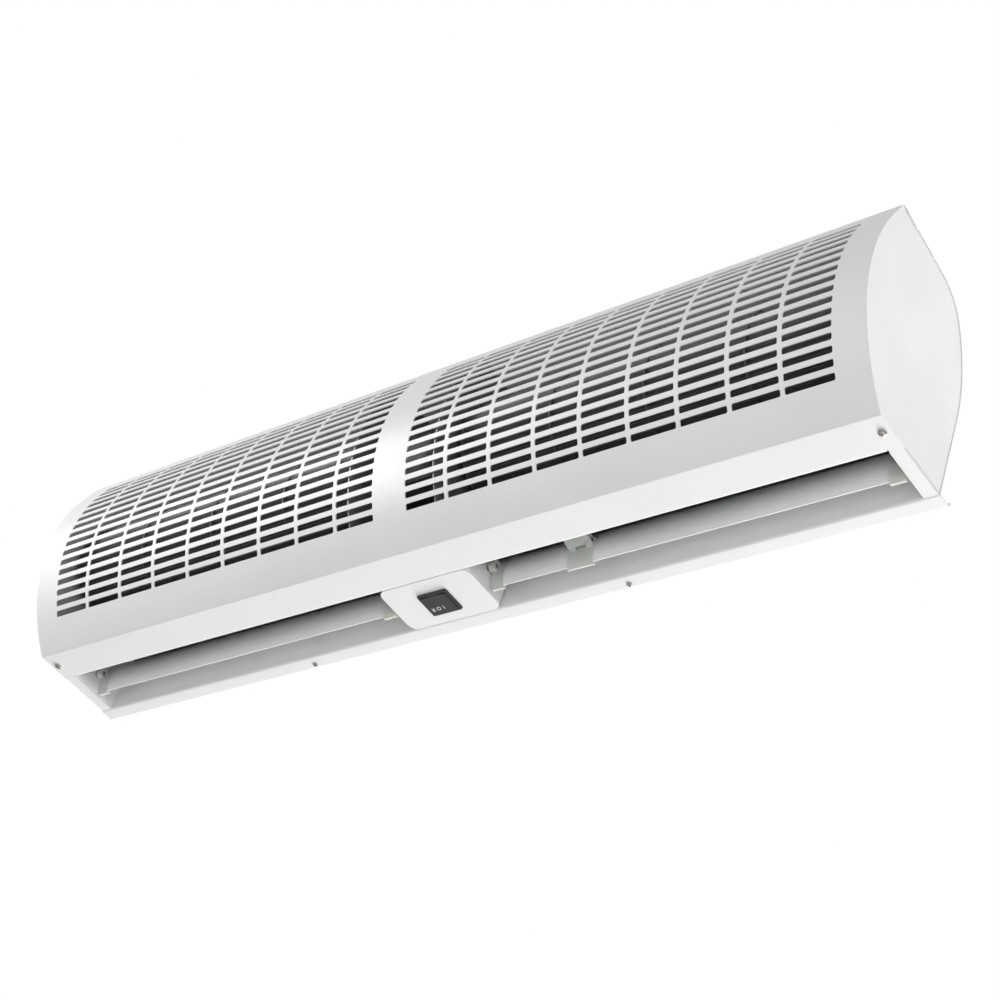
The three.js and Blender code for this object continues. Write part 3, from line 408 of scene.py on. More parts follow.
def motor_finish():
    """The motor's dark varnish, drawn out round its windings."""
    varnish = Surface("motor_varnish", (0.05, 0.055, 0.06), 0.45, 0.2)
    grain = varnish.noise(300, 2, (30, 1, 1))
    varnish.set(Roughness=0.35 + 0.2 * grain.ramp(0.3, 0.7))
    varnish.bump(grain, 0.3, 0.0002)
    return varnish.material


def die_cast():
    """Bare die-cast metal, slightly rough."""
    metal = Surface("die_cast_metal", (0.4, 0.41, 0.42), 0.5, 0.8)
    grain = metal.noise(800, 3)
    metal.set(Roughness=0.42 + 0.18 * grain.ramp(0.3, 0.7))
    metal.bump(grain, 0.2, 0.0002)
    return metal.material


FINISH = {
    "white_paint": powder_coat(),
    "zinc_sheet": galvanised(),
    "impeller_aluminium": rolled_aluminium(),
    "bright_steel": bright_steel(),
    "cast_end_bell": die_cast(),
    "motor_paint": motor_finish(),
    "black_plastic": black_plastic(),
    "ivory_plastic": ivory_plastic(),
    "black_rubber": black_rubber(),
}
MARK_PAINT = switch_print()


def dress_cad_nodes():
    """The finish of each piece that keeps its CAD mesh."""
    slots = {part["node"]: part["material_slot"] for part in frame["record"]["subparts"]}
    for name, node in frame["nodes"].items():
        node.data.materials.clear()
        node.data.materials.append(FINISH[slots[name]])


# ---------------------------------------------------------------- studio, in metres and watts

OBJECT_MIDDLE = Vector((0, -0.08, 0))
FLOOR_Z, FLOOR_SIZE = -2.4, 16
FILL_LIGHT = 0.18
WHITE = (1, 1, 1, 1)

# name, way from the object's middle, distance, side, power
LAMPS = (
    ("high_left_front", (-0.65, -0.60, 0.30), 2.2, 0.45, 14),
    ("left_front", (-0.65, -0.70, 0.05), 2.2, 0.45, 10),
    ("low_front", (0, -0.85, -0.5), 2.4, 1.3, 5),
    ("low_right", (0.85, -0.35, -0.4), 2.4, 1.3, 13),
    ("low_left_back", (-0.61, 0.49, -0.62), 2.6, 1.6, 3),
    ("high_right_back", (0.61, 0.49, 0.62), 2.6, 1.6, 21),
    ("level_back", (0, 1, -0.25), 2.6, 1.6, 90),
)


def lamp(name, place, target, side, power):
    """A soft square lamp, aimed at a target."""
    data = bpy.data.lights.new(name, "AREA")
    data.shape = "SQUARE"
    data.size, data.energy = side, power
    lamp_object = bpy.data.objects.new(name, data)
    bpy.context.scene.collection.objects.link(lamp_object)
    lamp_object.location = place
    aim = Vector(target) - Vector(place)
    lamp_object.rotation_euler = aim.to_track_quat("-Z", "Y").to_euler()
    lamp_object.visible_camera = False


def surroundings():
    """A weak even fill on the object, in surroundings that are white to look at."""
    world = bpy.data.worlds.new("studio")
    bpy.context.scene.world = world
    world.use_nodes = True
    graph = Graph(world.node_tree)
    graph.tree.nodes.clear()
    seen, mirrored, through = [graph.node("ShaderNodeLightPath", output=f"Is {kind} Ray")
                               for kind in ("Camera", "Glossy", "Transmission")]
    fill, white = [graph.node("ShaderNodeBackground", None, {"Color": WHITE, "Strength": strength})
                   for strength in (FILL_LIGHT, 1.0)]
    shown = graph.node("ShaderNodeMixShader", None,
                       {0: seen.larger(through).larger(mirrored), 1: fill, 2: white})
    graph.node("ShaderNodeOutputWorld", None, {"Surface": shown}, output=None)


def studio():
    """The surroundings, the lamps and a pale floor."""
    surroundings()
    for name, direction, distance, side, power in LAMPS:
        place = OBJECT_MIDDLE + Vector(direction).normalized() * distance
        lamp(name, place, OBJECT_MIDDLE, side, power)
    lamp("under_outlets", (0.1, 0.75, -0.85), (0, 0, -0.07), 0.7, 2)
    bpy.ops.mesh.primitive_plane_add(size=FLOOR_SIZE, location=(0, 0, FLOOR_Z))
    floor = bpy.context.object
    floor.name = "floor"
    floor.data.materials.append(Surface("pale_floor", (0.82, 0.82, 0.82), 0.7).material)


# ---------------------------------------------------------------- sections, as (y, z) points

def polar(centre, radius, angle):
    """The point at an angle in degrees round a centre."""
    turn = radians(angle)
    return Vector((centre[0] + radius * cos(turn), centre[1] + radius * sin(turn)))


def way(angle):
    """The direction at an angle in degrees."""
    return polar((0, 0), 1, angle)


def heading(vector):
    """The angle of a direction, in degrees."""
    return degrees(atan2(vector[1], vector[0]))


def arc(centre, radius, start, end, steps):
    """Points round a centre, from one angle to another."""
    return [polar(centre, radius, start + (end - start) * i / steps) for i in range(steps + 1)]


def folded(line, radius=FOLD, steps=5):
    """A line with each inner corner bent to a radius, as sheet is folded."""
    bent = [line[0]]
    for before, corner, after in zip(line, line[1:], line[2:]):
        to_before, to_after = (before - corner).normalized(), (after - corner).normalized()
        half = to_before.angle(to_after) / 2
        back = radius / tan(half)
        middle = corner + (to_before + to_after).normalized() * (radius / sin(half))
        start = heading(corner + to_before * back - middle)
        turn = heading(corner + to_after * back - middle) - start
        turn -= 360 * round(turn / 360)
        bent += arc(middle, radius, start, start + turn, steps)
    return [*bent, line[-1]]


def offset(line, distance):
    """A line moved sideways, to the left of its direction."""
    moved = []
    for i, point in enumerate(line):
        before = (point - line[i - 1]).normalized() if i else (line[1] - point).normalized()
        after = (line[i + 1] - point).normalized() if i < len(line) - 1 else before
        left = Vector((-before[1], before[0])), Vector((-after[1], after[0]))
        mitre = (left[0] + left[1]).normalized()
        moved.append(point + mitre * (distance / mitre.dot(left[0])))
    return moved


# the cover's outer face
front_edge = Vector((FRONT_Y, 0))
bow_start = front_edge + way(LIP_ANGLE) * LIP_LENGTH
bow_centre = polar(bow_start, BOW_RADIUS, LIP_ANGLE - 90)


def cover_point(length):
    """A point of the cover's face with a straight lip, at a length up from the front edge."""
    if length <= LIP_LENGTH:
        return front_edge + way(LIP_ANGLE) * length
    bow_length = BOW_RADIUS * radians(BOW_ANGLE)
    bent = degrees(min(length - LIP_LENGTH, bow_length) / BOW_RADIUS)
    beyond = max(0, length - LIP_LENGTH - bow_length)
    return polar(bow_centre, BOW_RADIUS, LIP_ANGLE + 90 - bent) + way(LIP_ANGLE - bent) * beyond


def skin_point(length):
    """The same with the lip bowed too, in one arc from the front edge up to the lower bow."""
    if length >= LOWER_BOW:
        return cover_point(length)
    end = cover_point(LOWER_BOW)
    chord = end - front_edge
    end_heading = LIP_ANGLE - degrees((LOWER_BOW - LIP_LENGTH) / BOW_RADIUS)
    half = heading(chord) - end_heading
    radius = chord.length / 2 / sin(radians(half))
    centre = (front_edge + end) / 2 + way(heading(chord) - 90) * (radius * cos(radians(half)))
    bent = half * (2 * length / LOWER_BOW - 1)
    return polar(centre, radius, heading(chord) + 90 - bent)


crest = cover_point(SECTION_LENGTH)
down_slope = way(-TOP_SLOPE)
flange_end = crest + down_slope * (TOP_FLANGE + GAP)
row_edges = [FIRST_ROW + row * ROW_PITCH + side * SLOT_HEIGHT / 2
             for row in range(ROWS) for side in (-1, 1)]
slot_edges = [skin_point(length) for length in row_edges]
slot_ends = sorted(side * (FIRST_COLUMN + column * COLUMN_PITCH + end * SLOT_LENGTH / 2)
                   for side in (-1, 1) for column in range(COLUMNS) for end in (-1, 1))
cover_face = [*map(skin_point, LIP_POINTS), *slot_edges]

# the inner face of the casing's back and top
top_angle = 90 - TOP_SLOPE
top_slope = radians(TOP_SLOPE)
corner_shift = BACK_RADIUS - CORNER_RADIUS
back_centre_y = BACK_Y - BACK_RADIUS
corner_y = back_centre_y + corner_shift * cos(radians(BACK_ARC))
top_end_y = corner_y + CORNER_RADIUS * cos(radians(top_angle))
inner_top_z = crest[1] - (top_end_y - crest[0]) * tan(top_slope) - SHEET / cos(top_slope)
corner_z = inner_top_z - CORNER_RADIUS * sin(radians(top_angle))
back_centre_z = corner_z - corner_shift * sin(radians(BACK_ARC))
back_line = [*arc((back_centre_y, back_centre_z), BACK_RADIUS, 0, BACK_ARC, 10),
             *arc((corner_y, corner_z), CORNER_RADIUS, BACK_ARC, top_angle, 12)[1:]]


def on_top(along, below):
    """A place past the cover's top flange along the slope, and below its face."""
    return flange_end + down_slope * along - way(top_angle) * below


lip_drop = 2 * SHEET + GAP
lip_line = [on_top(JOG_START, SHEET), on_top(SHEET / 2, lip_drop), on_top(-REAR_LIP, lip_drop)]

vane_centre = (VANE_Y, VANE_Z)
pivot = polar(vane_centre, VANE_RADIUS + PIVOT_STANDOFF, 180 - PIVOT_ANGLE)
fan_centre = (FAN_Y, crest[1] - FAN_BELOW_CREST)


def vane_arc(radius, start, end, steps):
    """An arc about the vane's centre; its angles rise from the level of the centre, in front."""
    return arc(vane_centre, radius, 180 - start, 180 - end, steps)


# ---------------------------------------------------------------- hand tools

def spot(x, y, z):
    """A point in metres, in the frame, of a place in millimetres."""
    return Vector((x, y - WALL_Y, z - MIDDLE_Z)) * MM


def sized(point):
    """The place in millimetres of a point in the frame."""
    return point / MM + Vector((0, WALL_Y, MIDDLE_Z))


def along_x(x, line):
    """A section's points, stood at x."""
    return [spot(x, y, z) for y, z in line]


def edit(piece):
    """Opens one piece in edit mode."""
    bpy.context.view_layer.objects.active = piece
    bpy.ops.object.mode_set(mode="EDIT")


def close():
    bpy.ops.object.mode_set(mode="OBJECT")


def push(value):
    """What is selected is drawn out."""
    bpy.ops.mesh.extrude_region_move(TRANSFORM_OT_translate={"value": value})


def bevel(size, segments, affect):
    """What is selected is rounded off."""
    bpy.ops.mesh.bevel(offset=size * MM, segments=segments, profile=0.5, affect=affect)


def draw_line(points):
    """A line of edges through points: a plane merged to one corner, then drawn out."""
    bpy.ops.object.select_all(action="DESELECT")
    bpy.ops.mesh.primitive_plane_add(size=MM, location=points[0])
    piece = bpy.context.object
    bpy.ops.object.transform_apply(location=True, rotation=True, scale=True)
    edit(piece)
    bpy.ops.mesh.select_all(action="SELECT")
    bpy.ops.mesh.merge(type="CENTER")
    for here, there in zip(points, points[1:]):
        push(there - here)
    bpy.ops.mesh.select_all(action="SELECT")
    return piece


def pick(piece, kind, test):
    """Selects the vertices or edges that lie, by all their corners, where a test says."""
    bpy.ops.mesh.select_mode(type={"verts": "VERT", "edges": "EDGE"}[kind])
    bpy.ops.mesh.select_all(action="DESELECT")
    form = bmesh.from_edit_mesh(piece.data)
    for item in getattr(form, kind):
        corners = [item] if kind == "verts" else item.verts
        if all(test(*sized(corner.co)) for corner in corners):
            item.select_set(True)
    form.select_flush_mode()
    bmesh.update_edit_mesh(piece.data)


def pick_faces(piece, test):
    """Selects the faces whose middles lie where a test says."""
    bpy.ops.mesh.select_mode(type="FACE")
    bpy.ops.mesh.select_all(action="DESELECT")
    form = bmesh.from_edit_mesh(piece.data)
    for face in form.faces:
        if test(*sized(face.calc_center_median())):
            face.select_set(True)
    bmesh.update_edit_mesh(piece.data)


def sheet(line, stations):
    """A section of sheet carried along X through its stations."""
    piece = draw_line(along_x(stations[0], line))
    for here, there in zip(stations, stations[1:]):
        push(((there - here) * MM, 0, 0))
    close()
    return piece


def outward(piece):
    """Merges doubles and turns the faces outwards."""
    edit(piece)
    bpy.ops.mesh.select_mode(type="VERT")
    bpy.ops.mesh.select_all(action="SELECT")
    bpy.ops.mesh.remove_doubles(threshold=0.01 * MM)
    bpy.ops.mesh.normals_make_consistent(inside=False)
    close()


def block(points, depth):
    """A flat outline, filled and drawn out to a solid."""
    piece = draw_line(points)
    bpy.ops.mesh.edge_face_add()
    push(depth)
    outward(piece)
    return piece


def turned(profile, centre, axis, steps):
    """A solid turned about an axis; its profile is (along the axis, radius) in millimetres."""
    axis = Vector(axis).normalized()
    aside = Vector((0, 0, 1)) if abs(axis.z) < 0.5 else Vector((1, 0, 0))
    aside = (aside - axis * aside.dot(axis)).normalized()
    piece = draw_line([centre + (axis * along + aside * radius) * MM for along, radius in profile])
    bpy.ops.mesh.spin(steps=steps, angle=2 * pi, center=centre, axis=axis)
    outward(piece)
    return piece


def rod(start, end, radius, centre, axis=(1, 0, 0), steps=28):
    """A round bar along an axis."""
    return turned([(start, 0), (start, radius), (end, radius), (end, 0)], centre, axis, steps)


def ring_profile(start, end, bore, radius):
    return [(start, bore), (start, radius), (end, radius), (end, bore), (start, bore)]


def modify(piece, kind, **settings):
    """A modifier with its settings, applied."""
    modifier = piece.modifiers.new(kind.lower(), kind)
    for key, value in settings.items():
        setattr(modifier, key, value)
    bpy.context.view_layer.objects.active = piece
    bpy.ops.object.modifier_apply(modifier=modifier.name)


def cut(piece, *tools, operation="DIFFERENCE"):
    """Other solids cut from a piece, or joined to it, and used up."""
    for tool in tools:
        modify(piece, "BOOLEAN", object=tool, operation=operation, solver="EXACT")
        bpy.data.objects.remove(tool)


def thicken(piece, thickness=SHEET, side=-1):
    """A sheet's thickness, to one side of its face, or to both with 0."""
    modify(piece, "SOLIDIFY", thickness=thickness * MM, offset=side, use_even_offset=True)


def join(piece, *others):
    """Makes other pieces part of a piece."""
    bpy.ops.object.select_all(action="DESELECT")
    for part in (piece, *others):
        part.select_set(True)
    bpy.context.view_layer.objects.active = piece
    bpy.ops.object.join()


def done(piece, name, slot, body, node, edge=SHEET_EDGE, segments=1):
    """Edges eased, faces smoothed, and the piece named, finished and set on its body."""
    bpy.ops.object.select_all(action="DESELECT")
    piece.select_set(True)
    bpy.context.view_layer.objects.active = piece
    if edge:
        modify(piece, "BEVEL", width=edge * MM, segments=segments, limit_method="ANGLE",
               angle_limit=radians(BEVEL_ANGLE), harden_normals=False, use_clamp_overlap=True)
    bpy.ops.object.shade_smooth_by_angle(angle=radians(SMOOTH_ANGLE))
    modify(piece, "WEIGHTED_NORMAL", keep_sharp=True, weight=80)
    piece.name = piece.data.name = name
    piece.data.materials.clear()
    piece.data.materials.append(FINISH[slot])
    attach(piece, body)
    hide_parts(node)


def copied(piece, matrix):
    """A copy with its own mesh, moved or mirrored."""
    twin = piece.copy()
    twin.data = piece.data.copy()
    bpy.context.scene.collection.objects.link(twin)
    twin.data.transform(matrix)
    if matrix.determinant() < 0:
        twin.data.flip_normals()
    return twin


def both_sides(piece):
    """A right-hand piece with its mirror image, each with its side's name."""
    return ("left", copied(piece, MIRROR)), ("right", piece)


# ---------------------------------------------------------------- casing

def fold_hem(cover):
    """The flange's rear edge, folded up between its ends, which run on flat."""
    def on_rear_edge(y, z):
        return abs(y - FLANGE_END) < NEAR and abs(z) < NEAR

    pick(cover, "edges", lambda x, y, z: on_rear_edge(y, z) and abs(x) < HEM_HALF + NEAR)
    hem = folded([Vector((FLANGE_END, 0)), Vector((STRIP_REAR_Y, 0)),
                  Vector((STRIP_REAR_Y, HEM_HEIGHT))], HEM_FOLD, 4)
    for here, there in zip(hem, hem[1:]):
        push(spot(0, *there) - spot(0, *here))
    for side in (-1, 1):
        pick(cover, "edges", lambda x, y, z: on_rear_edge(y, z) and side * x > TAB_START - NEAR)
        push((0, FOLD * MM, 0))


def open_slots(cover):
    """The slots: their corners are rounded, then the metal in them is taken out."""
    middles = [(low + high) / 2 for low, high in zip(slot_edges[::2], slot_edges[1::2])]

    def on_corner(x, y, z):
        at_end = any(abs(x - end) < NEAR for end in slot_ends)
        return at_end and any(hypot(y - edge[0], z - edge[1]) < NEAR for edge in slot_edges)

    def in_slot(x, y, z):
        column = (abs(x) - FIRST_COLUMN) / COLUMN_PITCH
        aside = abs(column - round(column)) * COLUMN_PITCH
        if round(column) not in range(COLUMNS) or aside > SLOT_CORNER:
            return False
        return any(hypot(y - middle[0], z - middle[1]) < SHEET / 2 for middle in middles)

    pick(cover, "verts", on_corner)
    bevel(SLOT_CORNER, 2, "VERTICES")
    pick_faces(cover, in_slot)
    bpy.ops.mesh.delete(type="FACE")


def front_cover():
    """The bowed cover: flange, lip, slotted bow and top fold, and a hem between the end tabs."""
    line = folded([Vector((FLANGE_END, 0)), front_edge, skin_point(LIP_FOLD_AIM)])[:-1]
    line += cover_face
    line += folded([cover_face[-1], crest, crest + down_slope * TOP_FLANGE])[1:]
    cover = sheet(line, [-HALF, -TAB_START, -HEM_HALF, *slot_ends, HEM_HALF, TAB_START, HALF])
    edit(cover)
    fold_hem(cover)
    open_slots(cover)
    pick(cover, "verts", lambda x, y, z: x < NEAR - HALF and y > STRIP_REAR_Y - NEAR and z < NEAR)
    bevel(TAB_CORNER, 5, "VERTICES")
    close()
    thicken(cover, side=1)
    cut(cover, rod(-3, 3, PINHOLE_RADIUS, spot(PINHOLE_X, PINHOLE_Y, 0), (0, 0, 1), 14))
    done(cover, "slotted_front_cover", "white_paint", "casing", "front_cover")


def rear_casing():
    """The casing's back and top, one folded sheet from the rear hem to the joggled lip."""
    foot = folded([Vector((STRIP_BACK_Y, REAR_HEM)), Vector((STRIP_BACK_Y, 0)), Vector((BACK_Y, 0)),
                   Vector((BACK_Y, back_centre_z))])[:-1]
    casing = sheet([*foot, *back_line, *lip_line], [-HALF, HALF])
    thicken(casing, side=1)
    low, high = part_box("cable_grommet")
    middle = (Vector(low) + Vector(high)) / 2
    up = (0, sin(top_slope), cos(top_slope))
    cut(casing, rod(-GROMMET_REACH, GROMMET_REACH, GROMMET_BORE, middle, up, 32))
    done(casing, "folded_rear_casing", "white_paint", "casing", "rear_casing")


def closing_outline():
    """The outline of a plate that closes the casing, just clear of its sheets."""
    low, inside_y = -2 * SHEET, STRIP_REAR_Y + STRIP_GAP
    over_flange, lip_end = SHEET + GAP, -REAR_LIP - GAP
    front = offset([front_edge, *cover_face, crest, flange_end], -SHEET - PLATE_GAP)[1:-1]
    rise = front[0][1] - over_flange
    foot = Vector((front[0][0] + rise / tan(radians(180 - LIP_ANGLE)), over_flange))
    inside = offset([*back_line, *lip_line], PLATE_GAP)[::-1]
    return [foot, *front, on_top(lip_end, over_flange), on_top(lip_end, lip_drop + GAP), *inside[1:],
            Vector((BACK_Y - GAP, low)), Vector((inside_y, low)), Vector((inside_y, over_flange))]


def end_plates():
    """Each end: a plate folded under into the strip beside the outlet, and up the outlet's wall."""
    front, back, top = crest[0] - 30, BACK_Y + 10, crest[1] + 10
    path = folded([Vector((PLATE_IN, PLATE_FOLD_HEIGHT)), Vector((PLATE_IN, 0)),
                   Vector((PLATE_OUT, 0)), Vector((PLATE_OUT, top))])
    plate = draw_line([spot(x, front, z) for x, z in path])
    push((0, (back - front) * MM, 0))
    close()
    thicken(plate, PLATE_THICKNESS, side=1)
    cut(plate, block(along_x(WALL_IN - 5, closing_outline()), (30 * MM, 0, 0)),
        operation="INTERSECT")
    for side, own in both_sides(plate):
        done(own, f"{side}_end_cheek", "white_paint", "casing", f"{side}_end_plate")


def switch_panel():
    """The tray between the outlets: a plate with round corners and folded walls."""
    middle_y = (STRIP_REAR_Y + BACK_Y) / 2
    half_y = (BACK_Y - STRIP_REAR_Y) / 2 - PLATE_GAP
    tray = draw_line([spot(x * TRAY_HALF, middle_y + y * half_y, 0) for x, y in CORNERS])
    bpy.ops.mesh.edge_face_add()
    bevel(PANEL_CORNER, 7, "VERTICES")
    bpy.ops.mesh.select_all(action="SELECT")
    push((0, 0, (PANEL_WALL + SHEET) * MM))
    bpy.ops.mesh.delete(type="ONLY_FACE")
    pick(tray, "edges", lambda x, y, z: abs(z) < NEAR)
    bevel(PANEL_EDGE, 3, "EDGES")
    bpy.ops.mesh.select_all(action="SELECT")
    bpy.ops.mesh.normals_make_consistent(inside=False)
    close()
    thicken(tray)
    half_x, half_y = BEZEL_LENGTH / 2 - BEZEL_LAP, BEZEL_WIDTH / 2 - BEZEL_LAP
    window = block([spot(x * half_x, SWITCH_Y + y * half_y, -2 * SHEET) for x, y in CORNERS],
                   (0, 0, 6 * SHEET * MM))
    reach = TRAY_HALF + 2 * SHEET
    pins = rod(-reach, reach, PIVOT_RADIUS + GAP, spot(0, *pivot), steps=20)
    cut(tray, window, pins)
    done(tray, "switch_tray", "white_paint", "casing", "switch_panel")


# ---------------------------------------------------------------- switch

def switch_block(half_x, half_y, corner, low, high):
    """A block round the switch's middle, with round corners."""
    points = []
    for turn, (x, y) in enumerate(((1, 1), (-1, 1), (-1, -1), (1, -1))):
        centre = (x * (half_x - corner), SWITCH_Y + y * (half_y - corner))
        points += [spot(*point, low) for point in arc(centre, corner, 90 * turn, 90 * turn + 90, 5)]
    return block(points, (0, 0, (high - low) * MM))


def drum(radius, spare, axle):
    """The rocker's round with its axle, or with spare room round them."""
    start, end = -spare, ROCKER_WIDTH + spare
    profile = [(start - 1, 0), (start - 1, axle), (start, axle), (start, radius),
               (end, radius), (end, axle), (end + 1, axle), (end + 1, 0)]
    return turned(profile, spot(0, SWITCH_Y - ROCKER_WIDTH / 2, ROCKER_AXIS_Z), (0, 1, 0), 64)


def switch_housing():
    """The black housing: a bezel with a soft edge, a body, and room for the rocker to swing."""
    housing = switch_block(BEZEL_LENGTH / 2, BEZEL_WIDTH / 2, BEZEL_CORNER, -BEZEL_DEPTH, -BEZEL_GAP)
    edit(housing)
    pick(housing, "edges", lambda x, y, z: abs(z + BEZEL_DEPTH) < NEAR)
    bevel(BEZEL_EDGE, 3, "EDGES")
    close()
    body = switch_block(BEZEL_LENGTH / 2 - HOUSING_INSET, BEZEL_WIDTH / 2 - HOUSING_INSET, 1,
                        -BEZEL_DEPTH / 2, HOUSING_TOP)
    pocket = switch_block(ROCKER_RADIUS - 0.6, ROCKER_WIDTH / 2 + GAP, 0.4,
                          -3 * BEZEL_DEPTH, ROCKER_AXIS_Z + 12)
    cut(housing, body, operation="UNION")
    cut(housing, pocket, drum(ROCKER_RADIUS + GAP, GAP, ROCKER_PIN + GAP))
    done(housing, "switch_bezel", "black_plastic", "casing", "switch_housing", edge=0.15, segments=2)


def rocker():
    """The rocker: a drum with a shallow valley for a face, and cut flat inside."""
    reach = 20
    outline = [(-reach, -reach), (reach, -reach), *VALLEY[::-1], *[(-x, z) for x, z in VALLEY[1:]]]
    below = block([spot(x, SWITCH_Y - reach, z) for x, z in outline], (0, 2 * reach * MM, 0))
    inside = switch_block(reach, reach, 1, ROCKER_TOP, 30)
    piece = drum(ROCKER_RADIUS, 0, ROCKER_PIN)
    cut(piece, below, inside)
    done(piece, "three_way_rocker", "black_plastic", "switch_rocker", "switch_rocker",
         edge=0.35, segments=3)


def rocker_face(x):
    """The height of the rocker's face at rest."""
    for (near, low), (far, high) in zip(VALLEY, VALLEY[1:]):
        if near <= abs(x) <= far:
            return low + (high - low) * (abs(x) - near) / (far - near)


def mark_bar(middle):
    """An upright bar that stands a hair proud of the rocker's face."""
    face = []
    for side, end in CORNERS:
        x = middle + side * BAR_HALF
        face.append(spot(x, MARK_Y + end * MARK_HALF, rocker_face(x) - MARK_RISE))
    return block(face, (0, 0, 3 * MARK_RISE * MM))


def switch_marks():
    """The position marks: two bars, a ring and a bar."""
    slope = (rocker_face(RING_X + 1) - rocker_face(RING_X - 1)) / 2
    marks = turned(ring_profile(-MARK_RISE, MARK_RISE, RING_BORE, MARK_HALF),
                   spot(RING_X, MARK_Y, rocker_face(RING_X)), (slope, 0, -1), 28)
    join(marks, *[mark_bar(x) for x in BAR_X])
    marks.name = marks.data.name = "rocker_position_marks"
    marks.data.materials.clear()
    marks.data.materials.append(MARK_PAINT)
    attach(marks, "switch_rocker")


# ---------------------------------------------------------------- vanes

def vane_blades():
    """Thin curved blades with a rounded lower edge and two small dimples."""
    inset = CLIP_WALL + GAP
    blade = sheet(vane_arc(VANE_RADIUS, VANE_LOW, VANE_HIGH, 28), [VANE_START + inset, VANE_END - inset])
    thicken(blade, VANE_THICKNESS)
    for x, angle in VANE_DIMPLES:
        place = spot(x, *polar(vane_centre, VANE_RADIUS, 180 - angle))
        cut(blade, rod(-DIMPLE_DEPTH, 1, DIMPLE_RADIUS, place, (0, *way(180 - angle)), 12))
    for side, own in both_sides(blade):
        done(own, f"{side}_vane_leaf", "white_paint", f"{side}_vane", f"{side}_vane_blade",
             edge=0.4, segments=3)


def sleeve(wall, high):
    """A clip's section: a wall in front of the blade that turns round the blade's lower edge."""
    front, behind = VANE_RADIUS + GAP, VANE_RADIUS - VANE_THICKNESS - GAP
    lip, foot = VANE_LOW - CLIP_LIP, VANE_LOW - CLIP_FOOT
    return [*vane_arc(front + wall, foot, high, 20), *vane_arc(front, high, lip, 20),
            *vane_arc(behind, lip, lip + CLIP_HOOK, 2),
            *vane_arc(behind - wall, lip + CLIP_HOOK, foot, 3)]


def boss(start, end, radius):
    """A round bar on the vane's pivot axis."""
    return rod(start, end, radius, spot(0, *pivot))


def vane_clips():
    """Translucent sleeves at the vanes' ends, each with its end wall and pivot boss."""
    face, foot = VANE_START, VANE_LOW - CLIP_FOOT
    front = VANE_RADIUS + GAP + CLIP_WALL
    behind = VANE_RADIUS - VANE_THICKNESS - GAP - CLIP_WALL
    clip = block(along_x(face, sleeve(CLIP_WALL, CLIP_TOP)), (CLIP_LENGTH * MM, 0, 0))
    wall = [*vane_arc(front, foot, CLIP_TOP, 20), *vane_arc(behind, CLIP_TOP, foot, 14)]
    cut(clip, block(along_x(face, wall), (CLIP_WALL * MM, 0, 0)),
        boss(face, face + BOSS_LENGTH, PIVOT_BOSS), operation="UNION")
    low_z = polar(vane_centre, front, 180 - foot)[1]
    past = CLIP_CHAMFER + 1
    chamfer = [(-past, -past), (CLIP_CHAMFER, -past), (CLIP_CHAMFER, -1), (0, CLIP_CHAMFER - 1),
               (-past, CLIP_CHAMFER - 1)]
    corner = block([spot(face + x, -60, low_z + z) for x, z in chamfer], (0, 60 * MM, 0))
    cut(clip, boss(face - 1, face + BOSS_LENGTH + 1, PIVOT_RADIUS + GAP), corner)
    to_outer = Matrix.Translation(((VANE_START + VANE_END) * MM, 0, 0)) @ MIRROR
    for side, hand in (("left", MIRROR), ("right", Matrix())):
        for end, place in (("inner", Matrix()), ("outer", to_outer)):
            done(copied(clip, hand @ place), f"{side}_{end}_vane_sleeve", "ivory_plastic",
                 f"{side}_vane", f"{side}_vane_{end}_clip", edge=0.3, segments=2)
    bpy.data.objects.remove(clip)


def middle_clip():
    """The right vane's middle clip, an ear each side of the stay."""
    low, high = STAY_X - STAY_HALF - 1, STAY_X + STAY_HALF + 1
    clip = block(along_x(low, sleeve(STAY_CLIP_WALL, STAY_CLIP_TOP)), ((high - low) * MM, 0, 0))
    root = vane_arc(VANE_RADIUS + GAP + 0.4, PIVOT_ANGLE + 8, VANE_LOW / 2, 8)
    belly = Vector((pivot[0], pivot[1] - STAY_KNUCKLE))
    bend = Vector((root[-1][0] - 1.2, belly[1]))
    hollow = [root[-1] * (1 - t) ** 2 + bend * 2 * t * (1 - t) + belly * t ** 2
              for t in (0.2, 0.4, 0.6, 0.8)]
    ear = [*root, *hollow, *arc(pivot, STAY_KNUCKLE, 270, 90, 12)]
    for start, end in ((STAY_X - STAY_HALF, STAY_X - STAY_BARREL - GAP),
                       (STAY_X + STAY_BARREL + GAP, STAY_X + STAY_HALF)):
        cut(clip, block(along_x(start, ear), ((end - start) * MM, 0, 0)), operation="UNION")
    cut(clip, boss(low, high, STAY_PIN + GAP))
    done(clip, "right_middle_vane_sleeve", "ivory_plastic", "right_vane", "right_vane_middle_clip",
         edge=0.25, segments=2)


# ---------------------------------------------------------------- fan

def fan_blades():
    """A cage of curved, forward-swept blades."""
    section = []
    for share in (0, 0.25, 0.5, 0.75, 1):
        radius = BLADE_HEEL + (BLADE_TIP - BLADE_HEEL) * share
        section.append(polar(fan_centre, radius, 90 - BLADE_SWEEP * share ** BLADE_CURVE))
    blades = sheet(section, [FAN_START + BLADE_INSET, FAN_END - BLADE_INSET])
    edit(blades)
    bpy.ops.mesh.select_all(action="SELECT")
    bpy.ops.mesh.spin(steps=FAN_BLADES, dupli=True, angle=2 * pi, center=spot(0, *fan_centre),
                      axis=(1, 0, 0))
    bpy.ops.mesh.select_all(action="SELECT")
    bpy.ops.mesh.remove_doubles(threshold=0.01 * MM)
    close()
    thicken(blades, BLADE_SHEET, side=0)
    return blades


